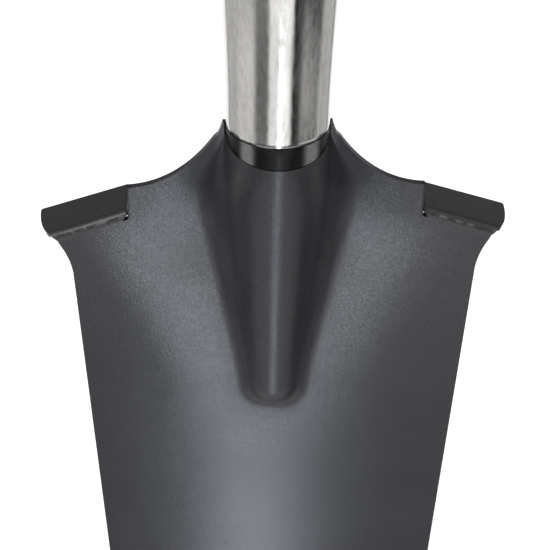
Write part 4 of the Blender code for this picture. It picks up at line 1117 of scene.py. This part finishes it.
def make_sky():
    """A pale dome above, and below it the dark and light flats that polished metal mirrors."""
    sky = Sky()
    side, up = sky.azimuth, sky.elevation

    def within(flats, share_of_height):
        return sky.math("MULTIPLY", flats, share_of_height)

    # The dome, darker behind the shovel
    rear = sky.add(sky.span(side, -120.0, -80.0, 1.0, 0.0), sky.span(side, 80.0, 120.0))
    rear_shade = within(rear, sky.span(up, 62.0, 80.0, 0.62, 0.0))
    dome = within(sky.span(up, 5.0, 70.0, 0.5, 0.95), sky.math("SUBTRACT", 1.0, rear_shade))

    # The upright bands that the shaft mirrors, nearly gone where the blade would mirror them
    grey = sky.bands((-136.0, -54.0, 7.0, 0.62), (-54.0, -23.0, 5.0, 0.27), (32.0, 88.0, 4.0, 0.07),
                     (92.0, 134.0, 6.0, 0.60), (-23.0, 25.0, 4.0, 1.32))
    round_shaft = within(grey, sky.span(up, -38.0, -33.0, 0.05, 1.0))
    behind = sky.add(sky.span(side, -144.0, -134.0, 1.25, 0.0),
                     sky.span(side, 134.0, 144.0, 0.0, 1.25))

    # Lower down, what the blade mirrors beside its bulge, on its plate and on the bulge itself
    patches = within(sky.bands((-104.0, -56.0, 8.0, 1.0), (46.0, 98.0, 8.0, 1.0)),
                     sky.window(up, -41.0, -34.5, 2.0))
    table = within(sky.bands((-62.0, 58.0, 12.0, 1.0)), sky.span(up, -40.0, -35.0, 0.08, 0.0))
    crown = within(sky.bands((-64.0, -18.0, 10.0, 1.0), (20.0, 60.0, 10.0, 1.0)),
                   sky.span(up, -50.0, -45.0, 0.75, 0.0))
    shoulders = within(sky.bands((-26.0, -4.0, 5.0, 0.9), (2.0, 20.0, 5.0, 2.6)),
                       sky.window(up, -37.4, -35.6, 0.7))
    flats = sky.add(round_shaft, within(patches, 0.8), table, crown, shoulders, behind)

    above = sky.span(up, -4.0, 10.0)
    strength = sky.add(within(dome, above), within(flats, sky.math("SUBTRACT", 1.0, above)))
    background = sky.tree.nodes["Background"].inputs
    sky.feed(background["Strength"], strength)
    sky.feed(background["Color"], (1.0, 1.0, 1.0))


def make_light(name, place, target, size, power, colour=(1.0, 1.0, 1.0)):
    data = bpy.data.lights.new(name, "AREA")
    data.shape = "RECTANGLE"
    data.size, data.size_y = size
    data.energy = power
    data.color = colour
    lamp = add_object(name, data)
    lamp.location = place
    lamp.rotation_mode = "QUATERNION"
    lamp.rotation_quaternion = (Vector(target) - Vector(place)).to_track_quat("-Z", "Y")
    lamp.visible_camera = False


def make_floor(material):
    """A floor that the camera sees, but that casts no shadow and shows in no mirror."""
    bm = bmesh.new()
    bmesh.ops.create_grid(bm, x_segments=8, y_segments=8, size=30.0)
    floor = make_object("floor", bm, material)
    floor.location.z = -0.5 * MM
    floor.visible_glossy = False
    floor.visible_shadow = False
    return floor


def make_camera():
    data = bpy.data.cameras.new("camera")
    data.sensor_width = 36.0
    data.lens = CAMERA_LENS
    data.clip_start, data.clip_end = 0.01, 100.0
    camera = add_object("camera", data)
    neck = Matrix.Translation((0.0, 0.0, NECK_Z))
    away = Matrix.Translation((0.0, -CAMERA_AWAY, CAMERA_ABOVE))
    orbit, pitch, roll = (Matrix.Rotation(math.radians(angle), 4, axis) for angle, axis in
                          ((CAMERA_YAW, "Z"), (90.0 - CAMERA_PITCH, "X"), (CAMERA_ROLL, "Z")))
    camera.matrix_world = neck @ orbit @ away @ pitch @ roll
    bpy.context.scene.camera = camera


make_camera()
make_sky()
make_floor(pale_floor())
make_light("soft_top", (-0.5, -0.7, 1.5), (0.0, 0.0, 0.25), (0.9, 0.9), 8.0)
# A cool strip in front of the blade, below the floor
make_light("low_strip", (0.005, -0.35, -0.18), (0.0, 0.0, 0.12), (0.03, 0.36), 0.365,
           (0.81, 0.88, 1.0))

make_blade(powder_coat("coated_steel", marked=True))
rear_coat = powder_coat("coated_steel_rear")
make_socket_back(rear_coat)
weld_coat = powder_coat("coated_weld")
for side_name, side in (("left", -1), ("right", 1)):
    make_weld(f"weld_bead_{side_name}", f"socket_weld_{side_name}", side, weld_coat)
make_collar(gloss_black())
make_shaft(stainless())

handle_plastic = moulded_plastic("handle_plastic", (0.020, 0.020, 0.021), (0.030, 0.030, 0.031))
make_shell("shell_front_half", "handle_shell_front", True, handle_plastic)
make_shell("shell_rear_half", "handle_shell_rear", False, handle_plastic)
make_grip(soft_grip())
zinc = plated_steel("zinc_steel")
for screw_number in range(1, 5):
    make_screw(screw_number, zinc)
make_bolt(zinc)
make_washer("washer_plate_front", "washer_front", -1, zinc)
make_washer("washer_plate_rear", "washer_rear", 1, zinc)
make_nut(zinc)

carried = {
    "tang": bare_steel(),
    "tube_plug": moulded_plastic("plug_plastic", (0.06, 0.06, 0.062), (0.09, 0.09, 0.092)),
    "grip_bar": plated_steel("bar_aluminium", 0.01),
}
for node, material in carried.items():
    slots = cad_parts[node].data.materials
    slots.clear()
    slots.append(material)

bpy.context.scene.view_settings.view_transform = "Standard"
bpy.context.scene.view_settings.look = "None"
